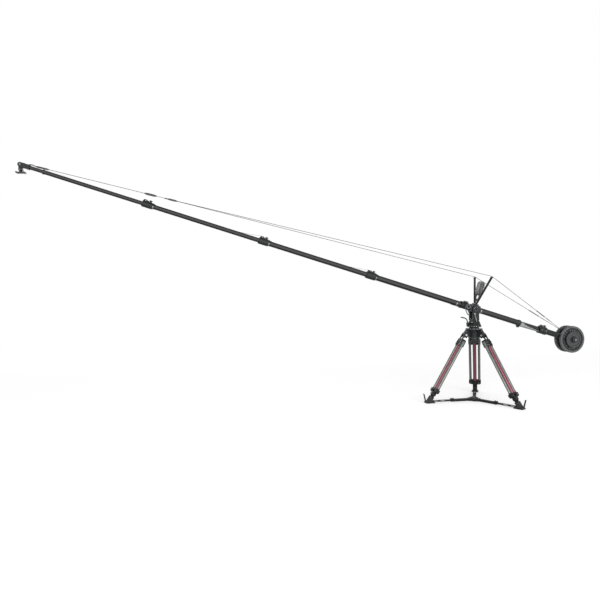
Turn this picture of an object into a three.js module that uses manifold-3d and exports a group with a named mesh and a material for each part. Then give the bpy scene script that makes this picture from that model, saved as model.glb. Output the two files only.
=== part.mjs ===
// A camera jib crane: a stayed telescopic boom on a pan and tilt head, carried by a tripod with a
// ground spreader. Millimetres, +Z up. The origin is on the floor under the pan axis, the boom's
// camera end points to -X and its counterweights to +X.

import * as THREE from 'three';
import { mergeVertices } from 'three/addons/utils/BufferGeometryUtils.js';
import Module from 'manifold-3d';

const wasm = await Module();
wasm.setup();

const degrees = THREE.MathUtils.degToRad;

// Clearances, how deep joined solids reach into each other, and how far a cutter passes a face
const GAP = 0.3;
const SLIDE_GAP = 0.5;
const WELD = 4;
const PAST = 1;

// Tripod
const LEG_AZIMUTHS = [180, -60, 60];
const FOOT_RADIUS = 585;
const HINGE_HEIGHT = 800;
const HINGE_RADIUS = 118;
const HINGE_BOLT_RADIUS = 8;
const HINGE_BOLT_REACH = 5;
const LUG_HALF_WIDTH = 20;
const LUG_RADIUS = 21;
const EAR_THICKNESS = 14;
const EAR_RADIUS = 25;
const OUTER_TUBE_RADIUS = 16;
const OUTER_TUBE_WALL = 2;
const OUTER_TUBE_SPACING = 54;
const OUTER_TUBE_TOP = 90;
const INNER_TUBE_RADIUS = 23;
const INNER_TUBE_WALL = 2.5;
const INNER_TUBE_TOP = 120;
const INNER_TUBE_HEADROOM = 5;
const LEG_CASTING_TOP = 58;
const LEG_CASTING_END = 150;
const LEG_CASTING_HALF_DEPTH = 28;
const LEG_CASTING_CHAMFER = 26;
const CASTING_MARGIN = 20;
const BRACKET_TO_FOOT = 139;
const BRACKET_HEIGHT = 48;
const BRACKET_HALF_DEPTH = 27;
const BRACKET_CHAMFER_HEIGHT = 14;
const BRACKET_CHAMFER_LENGTH = 24;
const LEG_KNOB_RADIUS = 17;
const LEG_KNOB_HEIGHT = 24;
const KNOB_STEM_RADIUS = 9;
const KNOB_STEM_HEIGHT = 7;
const KNOB_CHAMFER = 3;
const FOOT_CLEARANCE = 1;
const FOOT_SOCKET_DEPTH = 22;
const FOOT_HALF_WIDTH = 28;
const FOOT_ANKLE = 70;
const FOOT_TAPER = 3;
const PAD_HALF_LENGTH = 27;
const PAD_HEIGHT = 12;

// Ground spreader
const HUB_RADIUS = 56;
const HUB_HEIGHT = 40;
const HUB_FOOT_CHAMFER = 4;
const HUB_TOP_CHAMFER = 8;
const ROD_HALF_WIDTH = 12;
const ROD_BOTTOM = 9;
const ROD_TOP = 29;
const ROD_START = 60;
const CHANNEL_TO_FOOT = 285;
const CHANNEL_WALL = 5;
const CHANNEL_CLAMP_LENGTH = 36;
const CHANNEL_CLAMP_RISE = 7;
const CHANNEL_CLAMP_SPREAD = 4;
const STIRRUP_WALL = 14;
const STIRRUP_BOTTOM = 1;
const STRAP_SETBACK = 4;
const STIRRUP_TONGUE = 44;
const ROD_TO_PAD = 28;
const STIRRUP_HEIGHT = 10;
const EAR_STRAP_HEIGHT = 112;
const EAR_STRAP_LEAN = 22;
const EAR_STRAP_THICKNESS = 9;
const EAR_STRAP_HALF_WIDTH = 13;
// Where the windows start and end, as distances in from the foot
const ROD_WINDOWS = [[213, 147], [123, 65]];
const ROD_WINDOW_HEIGHT = 8;

// Crown and pan head
const CROWN_BELOW_HINGE = 65;
const CROWN_ABOVE_HINGE = 76;
const CROWN_RADIUS = 64;
const CROWN_FLANGE_RADIUS = 100;
const CROWN_FLANGE_THICKNESS = 12;
const CROWN_CONE_HEIGHT = 24;
const CROWN_HOLE_RADIUS = 22;
const BOWL_RADIUS = 58;
const BOWL_DEPTH = 52;
const BOWL_CURVE = [[0.62, 0.84], [0.9, 0.44]];
const BALL_OFFSET = 0.8;
const STUD_RADIUS = 9;
const STUD_REACH = 33;
const STUD_TIP = 6;
const BOWL_NUT_RADIUS = 32;
const BOWL_NUT_CHAMFER = 6;
const BOWL_NUT_COLLAR = [7, 10];
const PAN_BASE_RADIUS = 62;
const PAN_BASE_HEIGHT = 18;
const HOUSING_RADIUS = 84;
const HOUSING_BAND = 12;
const HOUSING_CHAMFER = 4;
const HOUSING_SHOULDER = [14, 27];
const HOUSING_NECK_HEIGHT = 8;
const HOUSING_NECK_RADIUS = 58;
const HOUSING_HEIGHT = 75.4;
const LEVER_BOSS_PROUD = 1;
const LEVER_BOSS_RADIUS = 13;
const LEVER_BOSS = [10.4, 41.4];
const LEVER_HUB_INSET = 1;
const LEVER_HUB_HEIGHT = 16;
const LEVER_ROD_RADIUS = 6;
const LEVER_STEPS = 10;
const LEVER_PATH = [[0, 9], [-3, 30], [-16, 54], [-44, 69], [-88, 77]];

// Yoke and fulcrum; the tilt lever's places are given from the trunnions
const PIVOT_ABOVE_HEAD = 143;
const BOOM_TILT = degrees(17.2);
const YOKE_BASE_HEIGHT = 20;
const YOKE_HALF_LENGTH = 42;
const YOKE_WAIST = 40;
const YOKE_WAIST_BELOW = 55;
const YOKE_HEAD_RADIUS = 40;
const YOKE_INSIDE = 36.5;
const CHEEK_THICKNESS = 12;
const TRUNNION_RADIUS = 15;
const TRUNNION_REACH = 7;
const TILT_LEVER_HUB = [-28, -57];
const TILT_LEVER_END = [-2, -151];
const TILT_LEVER_HUB_LENGTH = 22;
const TILT_LEVER_STANDOFF = 17;
const TILT_LEVER_HUB_RADIUS = 12;
const TILT_LEVER_ROD_RADIUS = 5;
const BLOCK_HALF_LENGTH = 62;
const BLOCK_HALF_HEIGHT = 46;
const BLOCK_CORNER = 14;
const BORE_STEP_INSET = 2;
const SOCKET_END = -190;
const SOCKET_WALL = 7;
const SOCKET_LUG = [-152, -98];
const SOCKET_LUG_RISE = 20;
const SOCKET_LUG_HALF_WIDTH = 17;
const LUG_CHAMFER = 6;
const BOOM_KNOB_AT = -102;
const BOOM_KNOB_RADIUS = 28;
const BOOM_KNOB_THICKNESS = 18;
const BOOM_KNOB_EYE = 8;
const BOOM_KNOB_CHAMFER = 3;
const BOOM_KNOB_DISH = [10, 6];

// Boom: octagonal tubes, each sliding in the one behind it
const TUBE_WALL = 1.8;
const BOOM_FLATS = [64, 56, 49, 43];
const REAR_TUBE_FLATS = 66;
const REAR_TUBE_END = 628;
const REAR_RING_LENGTH = 30;
const REAR_RING_WALL = 4;
const FIRST_COLLAR = -1357;
const SECTION_PITCH = 1302;
const TUBE_OVERLAP = 100;
const COLLAR_LENGTH = 110;
const COLLAR_WALL = 7.5;
const COLLAR_LIP = 5;
const COLLAR_LUG = [-44, -4];
const COLLAR_BOSS = [8, 44];
const COLLAR_LUG_RISE = 20;
const COLLAR_LUG_HALF_WIDTH = 15;
const COLLAR_KNOB_RADIUS = 15;
const COLLAR_KNOB_HEIGHT = 18;
const BOSS_RISE = 6;
const LAST_TUBE_REACH = 1069;
const NOSE_FLATS = 38;
const NOSE_FLANGE_FLATS = 49;
const NOSE_FLANGE_LENGTH = 15;
const NOSE_REACH = 185;
const NOSE_INSERT = 80;

// Nose fork, level head and camera plate
const HEAD_REACH = 53;
const FORK_OVERLAP = 39;
const FORK_HALF_HEIGHT = 24;
const FORK_HALF_WIDTH = 27;
const FORK_SLOT_HALF = 16;
const FORK_SLOT_DEPTH = 42;
const FORK_PIN_RADIUS = 7;
const FORK_PIN_REACH = 4;
const STAY_LUG_RISE = 10;
const STAY_LUG_LENGTH = 14;
const STAY_LUG_HALF_WIDTH = 4;
const HEAD_TONGUE_RADIUS = 19;
const HEAD_BLOCK_HALF_LENGTH = 18;
const HEAD_BLOCK_TOP = -44;
const HEAD_BLOCK_BOTTOM = -59;
const HEAD_BLOCK_CORNER = 6;
const HEAD_NECK_RADIUS = 14;
const HEAD_NECK_BOTTOM = -68;
const PLATE_BOSS_RADIUS = 20;
const PLATE_BOSS_HEIGHT = 8;
const PLATE_LENGTH = 88;
const PLATE_WIDTH = 72;
const PLATE_THICKNESS = 10;
const PLATE_CORNER = 8;

// Counterweight end
const SLIDE_TUBE_FLATS = 54;
const SLIDE_TUBE_START = 560;
const REAR_CLAMP_START = 898;
const REAR_CLAMP_END = 1000;
const REAR_CLAMP_SEAT = 955;
const REAR_CLAMP_FLATS = 90;
const REAR_CLAMP_LUG = [12, 48];
const REAR_CLAMP_LUG_RISE = 18;
const REAR_CLAMP_KNOB_INSET = 28;
const WEIGHT_TUBE_FLATS = 68;
const WEIGHT_TUBE_WALL = 3;
const WEIGHT_TUBE_END = 1378;
const WEIGHT_TUBE_CAP = 4;
const CAP_VENT_RADIUS = 6;
const CAP_VENT_BELOW = 16;
const WEIGHT_BAR_AT = 1346;
const WEIGHT_BAR_RADIUS = 14;
const WEIGHT_BAR_HALF_LENGTH = 124;
const LARGE_PLATE_RADIUS = 166;
const LARGE_PLATE_THICKNESS = 30;
const LARGE_PLATE_RECESS = 9;
const LARGE_PLATE_RIM = 26;
const LARGE_PLATE_HUB = 60;
const PLATE_CHAMFER = 4;
const SMALL_PLATE_RADIUS = 100;
const SMALL_PLATE_THICKNESS = 22;
const SMALL_PLATE_RECESS = 5;
const SMALL_PLATE_RIM = 18;
const SMALL_PLATE_HUB = 41;
const SMALL_PLATE_CHAMFER = 3;
const WEIGHT_KNOB_RADIUS = 36;
const WEIGHT_KNOB_THICKNESS = 26;
const WEIGHT_KNOB_CHAMFER = [10, 8];
const ANCHOR_AT = 1205;
const ANCHOR_HEIGHT = 84;
const ANCHOR_HALF_LENGTH = 14;
const ANCHOR_HALF_WIDTH = 5;

// Mast and stays
const MAST_HEIGHT = 404;
const MAST_SPREAD = 195;
const MAST_FOOT_SPREAD = 16;
const MAST_BASE_HEIGHT = 14;
const MAST_BASE_HALF = 31;
const MAST_ARM_DEPTH = 27;
const MAST_ARM_WIDTH = 19;
const MAST_CAP_RADIUS = 12;
const MAST_CAP_HALF_WIDTH = 13;
const SADDLE_GAP = 0.9;
const BRACE_TOP = 190;
const BRACE_THICKNESS = 12;
const BRACE_HALF_DEPTH = 9;
const STAY_RADIUS = 2.5;
const STAY_SETBACK = 16;
const STAY_START_HEIGHT = 28;
// Where the fittings on the front stay start and end, from the stay's own start
const TURNBUCKLE = [32, 165];
const TURNBUCKLE_RADIUS = 6.5;
const CONNECTOR = [1140, 1275];
const CONNECTOR_RADIUS = 8;
const STAY_YOKE = [1348, 1488];
const STAY_YOKE_RADIUS = 10;
const STAY_YOKE_NECK = 28;
const STAY_JOIN = 2;
const STAY_HOOK_BELOW = 8;
const TWIN_STAY_SPACING = 6;
const REAR_SWAGE = [0.62, 0.75];
const REAR_SHACKLE = [0.78, 0.83];
const SWAGE_RADIUS = 5.5;

// Hank of spare stay cable, tied between the mast's arms
const HANK_TURNS = 6;
const HANK_PITCH = 11;
const HANK_CABLE_RADIUS = 4.8;
const HANK_HALF_LENGTH = 30;
const HANK_HALF_HEIGHT = 72;
const HANK_STEPS_PER_TURN = 24;
const HANK_SIDES = 6;

// Sides of round pieces: small rods and bores, middling pieces, large discs
const SMALL_SIDES = 12;
const MIDDLE_SIDES = 16;
const LARGE_SIDES = 24;
const ARC_STEPS = 5;

// Finishes: colour, roughness and metalness
const FINISHES = {
  black_paint: [0x1b1c1e, 0.5, 0.4],
  carbon: [0x2a2c2e, 0.4, 0.2],
  grey_tube: [0x6f7570, 0.4, 0.7],
  red_tube: [0x8c1f30, 0.35, 0.6],
  silver: [0xb9bcbe, 0.3, 0.9],
  rubber: [0x161616, 0.8, 0],
  plate_iron: [0x3a3b3c, 0.6, 0.4],
  steel_wire: [0x86898b, 0.35, 0.9],
  cable: [0x6a6c6d, 0.6, 0.3],
};

function finish(name) {
  const [color, roughness, metalness] = FINISHES[name];
  return new THREE.MeshStandardMaterial({ color, roughness, metalness });
}

function add(group, name, finishName, geometry) {
  const mesh = new THREE.Mesh(geometry, finish(finishName));
  mesh.name = name;
  group.add(mesh);
}

// Joining and cutting closed meshes

function solidOf(geometry) {
  const bare = geometry.clone();
  bare.deleteAttribute('normal');
  bare.deleteAttribute('uv');
  const merged = mergeVertices(bare, 1e-4);
  const mesh = new wasm.Mesh({
    numProp: 3,
    vertProperties: new Float32Array(merged.attributes.position.array),
    triVerts: new Uint32Array(merged.index.array),
  });
  return new wasm.Manifold(mesh);
}

function geometryOf(solid) {
  const mesh = solid.getMesh();
  const geometry = new THREE.BufferGeometry();
  geometry.setAttribute('position', new THREE.BufferAttribute(mesh.vertProperties, 3));
  geometry.setIndex(new THREE.BufferAttribute(mesh.triVerts, 1));
  return geometry;
}

function join(...pieces) {
  return geometryOf(pieces.map(solidOf).reduce((sum, piece) => sum.add(piece)));
}

function cut(body, ...tools) {
  return geometryOf(tools.map(solidOf).reduce((rest, tool) => rest.subtract(tool), solidOf(body)));
}

// Basic shapes

const AXES = {
  x: new THREE.Matrix4().makeBasis(
    new THREE.Vector3(0, 1, 0), new THREE.Vector3(0, 0, 1), new THREE.Vector3(1, 0, 0)),
  y: new THREE.Matrix4().makeBasis(
    new THREE.Vector3(0, 0, 1), new THREE.Vector3(1, 0, 0), new THREE.Vector3(0, 1, 0)),
  z: new THREE.Matrix4(),
};

function box(x0, x1, y0, y1, z0, z1) {
  const geometry = new THREE.BoxGeometry(x1 - x0, y1 - y0, z1 - z0);
  return geometry.translate((x0 + x1) / 2, (y0 + y1) / 2, (z0 + z1) / 2);
}

// A solid turned about an axis: the profile's points are [radius, place along the axis].
function turned(axis, profile, sides) {
  const points = profile.map(([radius, along]) => new THREE.Vector2(radius, along));
  const onAxis = points[0].x === 0;
  if (!onAxis) points.push(points[0].clone());
  if (THREE.ShapeUtils.area(points) < 0) points.reverse();
  const geometry = new THREE.LatheGeometry(points, sides);
  return geometry.rotateX(Math.PI / 2).applyMatrix4(AXES[axis]);
}

function rod(axis, radius, from, to, sides = SMALL_SIDES) {
  return turned(axis, [[0, from], [radius, from], [radius, to], [0, to]], sides);
}

function ring(axis, outer, inner, from, to, sides = SMALL_SIDES) {
  return turned(axis, [[inner, from], [outer, from], [outer, to], [inner, to]], sides);
}

// A flat outline in two of the axes, given thickness along the third.
function slab(axis, outline, from, to) {
  const shape = outline instanceof THREE.Shape ? outline : new THREE.Shape(outline.map(
    ([a, b]) => new THREE.Vector2(a, b)));
  const geometry = new THREE.ExtrudeGeometry(shape, {
    depth: to - from, bevelEnabled: false, curveSegments: ARC_STEPS,
  });
  return geometry.translate(0, 0, from).applyMatrix4(AXES[axis]);
}

function octagonOutline(flats) {
  const radius = flats / 2 / Math.cos(Math.PI / 8);
  return Array.from({ length: 8 }, (_, i) => {
    const angle = Math.PI / 8 + i * Math.PI / 4;
    return new THREE.Vector2(radius * Math.cos(angle), radius * Math.sin(angle));
  });
}

function octagonBar(flats, from, to) {
  return slab('x', new THREE.Shape(octagonOutline(flats)), from, to);
}

function octagonTube(flats, wall, from, to) {
  const shape = new THREE.Shape(octagonOutline(flats));
  shape.holes.push(new THREE.Path(octagonOutline(flats - 2 * wall)));
  return slab('x', shape, from, to);
}

function roundedOutline(halfX, halfY, corner) {
  const shape = new THREE.Shape();
  shape.moveTo(halfX - corner, -halfY);
  shape.absarc(halfX - corner, corner - halfY, corner, -Math.PI / 2, 0);
  shape.absarc(halfX - corner, halfY - corner, corner, 0, Math.PI / 2);
  shape.absarc(corner - halfX, halfY - corner, corner, Math.PI / 2, Math.PI);
  shape.absarc(corner - halfX, corner - halfY, corner, Math.PI, 1.5 * Math.PI);
  return shape;
}

// A round rod between two points, for stays and lever arms.
function rodBetween(start, end, radius, sides = 8) {
  const line = new THREE.Vector3().subVectors(end, start);
  const geometry = rod('z', radius, 0, line.length(), sides);
  const turn = new THREE.Quaternion().setFromUnitVectors(new THREE.Vector3(0, 0, 1), line.normalize());
  return geometry.applyQuaternion(turn).translate(start.x, start.y, start.z);
}

const crane = new THREE.Group();

// Tripod

const legSplay = Math.atan2(FOOT_RADIUS - HINGE_RADIUS, HINGE_HEIGHT);
const legLength = Math.hypot(FOOT_RADIUS - HINGE_RADIUS, HINGE_HEIGHT);
const bracketEnd = legLength - BRACKET_TO_FOOT;
const bracketTop = bracketEnd - BRACKET_HEIGHT;
const crownTop = HINGE_HEIGHT + CROWN_ABOVE_HINGE;
const crownBottom = HINGE_HEIGHT - CROWN_BELOW_HINGE;
const bowlProfile = [
  [CROWN_HOLE_RADIUS, crownTop - BOWL_DEPTH],
  ...BOWL_CURVE.map(([across, down]) => [BOWL_RADIUS * across, crownTop - BOWL_DEPTH * down]),
  [BOWL_RADIUS, crownTop],
];

function crown() {
  const flangeBottom = crownTop - CROWN_FLANGE_THICKNESS;
  const body = turned('z', [
    [CROWN_HOLE_RADIUS, crownBottom],
    [CROWN_RADIUS, crownBottom],
    [CROWN_RADIUS, flangeBottom - CROWN_CONE_HEIGHT],
    [CROWN_FLANGE_RADIUS, flangeBottom],
    [CROWN_FLANGE_RADIUS, crownTop],
    ...bowlProfile.slice().reverse(),
  ], MIDDLE_SIDES);
  const lugs = [];
  const holes = [];
  for (const azimuth of LEG_AZIMUTHS) {
    const outline = new THREE.Shape();
    outline.moveTo(HINGE_HEIGHT - LUG_RADIUS, CROWN_RADIUS - WELD);
    outline.lineTo(HINGE_HEIGHT - LUG_RADIUS, HINGE_RADIUS);
    outline.absarc(HINGE_HEIGHT, HINGE_RADIUS, LUG_RADIUS, Math.PI, 0, true);
    outline.lineTo(HINGE_HEIGHT + LUG_RADIUS, CROWN_RADIUS - WELD);
    lugs.push(slab('y', outline, -LUG_HALF_WIDTH, LUG_HALF_WIDTH).rotateZ(degrees(azimuth)));
    const reach = LUG_HALF_WIDTH + PAST;
    const hole = rod('y', HINGE_BOLT_RADIUS + GAP, -reach, reach, MIDDLE_SIDES);
    holes.push(hole.translate(HINGE_RADIUS, 0, HINGE_HEIGHT).rotateZ(degrees(azimuth)));
  }
  return cut(join(body, ...lugs), ...holes);
}

// The leg's own frame has its origin on the hinge bolt and -Z down the leg's axis.
function legCasting() {
  const half = OUTER_TUBE_SPACING + CASTING_MARGIN;
  const flat = half - LEG_CASTING_CHAMFER;
  const shoulder = -LEG_CASTING_TOP - LEG_CASTING_CHAMFER;
  const block = slab('x', [
    [-half, shoulder], [-half, -LEG_CASTING_END], [half, -LEG_CASTING_END], [half, shoulder],
    [flat, -LEG_CASTING_TOP], [-flat, -LEG_CASTING_TOP],
  ], -LEG_CASTING_HALF_DEPTH, LEG_CASTING_HALF_DEPTH);
  const ear = new THREE.Shape();
  ear.moveTo(-LEG_CASTING_TOP - WELD, EAR_RADIUS);
  ear.lineTo(0, EAR_RADIUS);
  ear.absarc(0, 0, EAR_RADIUS, Math.PI / 2, -Math.PI / 2, true);
  ear.lineTo(-LEG_CASTING_TOP - WELD, -EAR_RADIUS);
  const earStart = LUG_HALF_WIDTH + GAP;
  const earEnd = earStart + EAR_THICKNESS;
  const boltEnd = earEnd + HINGE_BOLT_REACH;
  const bolt = rod('y', HINGE_BOLT_RADIUS, -boltEnd, boltEnd, MIDDLE_SIDES);
  const body = join(block, slab('y', ear, earStart, earEnd), slab('y', ear, -earEnd, -earStart), bolt);
  const bores = [-1, 1].map((side) => rod(
    'z', OUTER_TUBE_RADIUS + GAP, -LEG_CASTING_END - PAST, -OUTER_TUBE_TOP,
  ).translate(0, side * OUTER_TUBE_SPACING, 0));
  const middle = rod('z', INNER_TUBE_RADIUS + SLIDE_GAP, -LEG_CASTING_END - PAST,
    -INNER_TUBE_TOP + INNER_TUBE_HEADROOM);
  return cut(body, ...bores, middle);
}

function legFrame() {
  const half = OUTER_TUBE_SPACING + CASTING_MARGIN;
  const flat = half - BRACKET_CHAMFER_LENGTH;
  const shoulder = -bracketEnd + BRACKET_CHAMFER_HEIGHT;
  const bracket = slab('x', [
    [-half, shoulder], [-flat, -bracketEnd], [flat, -bracketEnd], [half, shoulder],
    [half, -bracketTop], [-half, -bracketTop],
  ], -BRACKET_HALF_DEPTH, BRACKET_HALF_DEPTH);
  const tubes = [-1, 1].map((side) => ring(
    'z', OUTER_TUBE_RADIUS, OUTER_TUBE_RADIUS - OUTER_TUBE_WALL, -bracketTop - WELD, -OUTER_TUBE_TOP - GAP,
  ).translate(0, side * OUTER_TUBE_SPACING, 0));
  const bore = rod('z', INNER_TUBE_RADIUS + SLIDE_GAP, -bracketEnd - PAST, -bracketTop + PAST);
  return cut(join(bracket, ...tubes), bore);
}

// A clamp knob's profile: a narrow stem under a chamfered grip.
function knobProfile(radius, face, top) {
  const grip = face + KNOB_STEM_HEIGHT;
  return [
    [0, face], [KNOB_STEM_RADIUS, face], [KNOB_STEM_RADIUS, grip], [radius, grip + KNOB_CHAMFER],
    [radius, top - KNOB_CHAMFER], [radius - KNOB_CHAMFER, top], [0, top],
  ];
}

function legKnob() {
  const face = BRACKET_HALF_DEPTH + GAP;
  const top = face + LEG_KNOB_HEIGHT;
  return turned('x', knobProfile(LEG_KNOB_RADIUS, face, top), SMALL_SIDES)
    .translate(0, 0, -(bracketTop + bracketEnd) / 2);
}

const footTop = bracketEnd + FOOT_CLEARANCE;
const innerTubeEnd = footTop + FOOT_SOCKET_DEPTH;

function legInner() {
  const outer = INNER_TUBE_RADIUS;
  return ring('z', outer, outer - INNER_TUBE_WALL, -innerTubeEnd, -INNER_TUBE_TOP);
}

// A point of the leg's own frame, given as [height, radius] in the leg's upright plane.
function legPoint(across, down) {
  const radius = HINGE_RADIUS + across * Math.cos(legSplay) + down * Math.sin(legSplay);
  const height = HINGE_HEIGHT + across * Math.sin(legSplay) - down * Math.cos(legSplay);
  return [height, radius];
}

function legFoot() {
  const ankle = FOOT_HALF_WIDTH - FOOT_TAPER;
  const body = slab('y', [
    legPoint(-FOOT_HALF_WIDTH, footTop), legPoint(-ankle, footTop + FOOT_ANKLE),
    [PAD_HEIGHT, FOOT_RADIUS - PAD_HALF_LENGTH], [0, FOOT_RADIUS - PAD_HALF_LENGTH],
    [0, FOOT_RADIUS + PAD_HALF_LENGTH], [PAD_HEIGHT, FOOT_RADIUS + PAD_HALF_LENGTH],
    legPoint(ankle, footTop + FOOT_ANKLE), legPoint(FOOT_HALF_WIDTH, footTop),
  ], -FOOT_HALF_WIDTH, FOOT_HALF_WIDTH);
  const socket = rod('z', INNER_TUBE_RADIUS + GAP, -innerTubeEnd - GAP, -footTop + PAST);
  return cut(body, socket.rotateY(-legSplay).translate(HINGE_RADIUS, 0, HINGE_HEIGHT));
}

// Ground spreader

const channelEnd = FOOT_RADIUS - CHANNEL_TO_FOOT;

function spreaderHub() {
  const disc = turned('z', [
    [0, 0], [HUB_RADIUS - HUB_FOOT_CHAMFER, 0], [HUB_RADIUS, HUB_FOOT_CHAMFER],
    [HUB_RADIUS, HUB_HEIGHT - HUB_TOP_CHAMFER], [HUB_RADIUS - HUB_TOP_CHAMFER, HUB_HEIGHT], [0, HUB_HEIGHT],
  ], MIDDLE_SIDES);
  const outside = ROD_HALF_WIDTH + GAP + CHANNEL_WALL;
  const low = ROD_BOTTOM - GAP - CHANNEL_WALL;
  const high = ROD_TOP + GAP + CHANNEL_WALL;
  const pieces = [disc];
  const bores = [];
  for (const azimuth of LEG_AZIMUTHS) {
    const turn = degrees(azimuth);
    const clampStart = channelEnd - CHANNEL_CLAMP_LENGTH;
    pieces.push(box(HUB_RADIUS / 2, channelEnd, -outside, outside, low, high).rotateZ(turn));
    const clampSide = outside + CHANNEL_CLAMP_SPREAD;
    pieces.push(box(clampStart, channelEnd, -clampSide, clampSide, low,
      high + CHANNEL_CLAMP_RISE).rotateZ(turn));
    const side = ROD_HALF_WIDTH + GAP;
    bores.push(box(ROD_START - GAP, channelEnd + PAST, -side, side, ROD_BOTTOM - GAP,
      ROD_TOP + GAP).rotateZ(turn));
  }
  return cut(join(...pieces), ...bores);
}

function spreaderArm() {
  const padStart = FOOT_RADIUS - PAD_HALF_LENGTH - GAP;
  const padEnd = FOOT_RADIUS + PAD_HALF_LENGTH + GAP;
  const side = FOOT_HALF_WIDTH + GAP;
  const stirrupTop = STIRRUP_BOTTOM + STIRRUP_HEIGHT;
  const bar = box(ROD_START, padStart - ROD_TO_PAD, -ROD_HALF_WIDTH, ROD_HALF_WIDTH, ROD_BOTTOM, ROD_TOP);
  const stirrup = box(padStart - STIRRUP_TONGUE, padEnd + STIRRUP_WALL, -side - STIRRUP_WALL,
    side + STIRRUP_WALL, STIRRUP_BOTTOM, stirrupTop);
  const strapStart = padEnd + STRAP_SETBACK;
  const strap = slab('y', [
    [STIRRUP_BOTTOM, strapStart], [STIRRUP_BOTTOM, strapStart + EAR_STRAP_THICKNESS],
    [EAR_STRAP_HEIGHT, strapStart + EAR_STRAP_THICKNESS + EAR_STRAP_LEAN],
    [EAR_STRAP_HEIGHT, strapStart + EAR_STRAP_LEAN],
  ], -EAR_STRAP_HALF_WIDTH, EAR_STRAP_HALF_WIDTH);
  const middle = (ROD_BOTTOM + ROD_TOP) / 2;
  const across = ROD_HALF_WIDTH + PAST;
  const windows = ROD_WINDOWS.map(([from, to]) => box(FOOT_RADIUS - from, FOOT_RADIUS - to, -across, across,
    middle - ROD_WINDOW_HEIGHT / 2, middle + ROD_WINDOW_HEIGHT / 2));
  const well = box(padStart, padEnd, -side, side, 0, ROD_TOP + PAST);
  return cut(join(bar, stirrup, strap), well, ...windows);
}

add(crane, 'crown', 'black_paint', crown());
add(crane, 'spreader_hub', 'black_paint', spreaderHub());
LEG_AZIMUTHS.forEach((azimuth, i) => {
  const upright = new THREE.Group();
  upright.rotation.z = degrees(azimuth);
  crane.add(upright);
  const leg = new THREE.Group();
  leg.position.set(HINGE_RADIUS, 0, HINGE_HEIGHT);
  leg.rotation.y = -legSplay;
  upright.add(leg);
  const name = `leg_${i + 1}`;
  add(leg, `${name}_casting`, 'black_paint', legCasting());
  add(leg, `${name}_outer_tubes`, 'grey_tube', legFrame());
  add(leg, `${name}_lock_knob`, 'rubber', legKnob());
  add(leg, `${name}_inner_tube`, 'red_tube', legInner());
  add(upright, `${name}_foot`, 'rubber', legFoot());
  add(upright, `spreader_arm_${i + 1}`, 'black_paint', spreaderArm());
});

// Pan head

const panBaseTop = crownTop + GAP + PAN_BASE_HEIGHT;
const studBottom = crownBottom - STUD_REACH;
const housingBottom = panBaseTop + GAP;
const housingTop = housingBottom + HOUSING_HEIGHT;
const bossX = -HOUSING_RADIUS - LEVER_BOSS_PROUD;
const bossTop = housingBottom + LEVER_BOSS[1];
const pivotHeight = housingTop + PIVOT_ABOVE_HEAD;

function panBase() {
  const ball = bowlProfile.slice(0, -1).map(
    ([radius, height]) => [radius - BALL_OFFSET, height + BALL_OFFSET]);
  const flange = crownTop + GAP;
  return turned('z', [
    [0, studBottom], [STUD_RADIUS, studBottom], [STUD_RADIUS, crownTop - BOWL_DEPTH + BALL_OFFSET],
    ...ball, [BOWL_RADIUS - BALL_OFFSET, flange], [PAN_BASE_RADIUS, flange],
    [PAN_BASE_RADIUS, panBaseTop], [0, panBaseTop],
  ], MIDDLE_SIDES);
}

function bowlNut() {
  const top = crownBottom - GAP;
  const bottom = studBottom - STUD_TIP;
  const [collarRise, collarHeight] = BOWL_NUT_COLLAR;
  return turned('z', [
    [STUD_RADIUS + GAP, bottom], [BOWL_NUT_RADIUS - BOWL_NUT_CHAMFER, bottom],
    [BOWL_NUT_RADIUS, bottom + BOWL_NUT_CHAMFER], [BOWL_NUT_RADIUS, top - collarHeight],
    [BOWL_NUT_RADIUS + collarRise, top - collarHeight / 2], [BOWL_NUT_RADIUS + collarRise, top],
    [STUD_RADIUS + GAP, top],
  ], MIDDLE_SIDES);
}

function panHousing() {
  const bottom = housingBottom;
  const bandTop = bottom + HOUSING_BAND;
  const [shoulderIn, shoulderUp] = HOUSING_SHOULDER;
  const body = turned('z', [
    [0, bottom], [HOUSING_RADIUS - HOUSING_CHAMFER, bottom], [HOUSING_RADIUS, bottom + HOUSING_CHAMFER],
    [HOUSING_RADIUS, bandTop], [HOUSING_RADIUS - shoulderIn, bandTop + shoulderUp],
    [HOUSING_NECK_RADIUS, housingTop - HOUSING_NECK_HEIGHT], [HOUSING_NECK_RADIUS, housingTop],
    [0, housingTop],
  ], MIDDLE_SIDES);
  const bossBottom = housingBottom + LEVER_BOSS[0];
  const boss = rod('z', LEVER_BOSS_RADIUS, bossBottom, bossTop).translate(bossX, 0, 0);
  const arm = box(bossX, -HOUSING_NECK_RADIUS, -LEVER_BOSS_RADIUS, LEVER_BOSS_RADIUS, bossBottom, bossTop);
  return join(body, boss, arm);
}

function panLever() {
  const bottom = bossTop + GAP;
  const hub = rod('z', LEVER_BOSS_RADIUS - LEVER_HUB_INSET, bottom, bottom + LEVER_HUB_HEIGHT)
    .translate(bossX, 0, 0);
  const path = new THREE.CatmullRomCurve3(LEVER_PATH.map(
    ([x, z]) => new THREE.Vector3(bossX + x, 0, bottom + z)));
  const section = new THREE.Shape();
  section.absarc(0, 0, LEVER_ROD_RADIUS, 0, 2 * Math.PI);
  const arm = new THREE.ExtrudeGeometry(section, {
    steps: LEVER_STEPS, extrudePath: path, curveSegments: ARC_STEPS,
  });
  return join(hub, arm);
}

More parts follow.
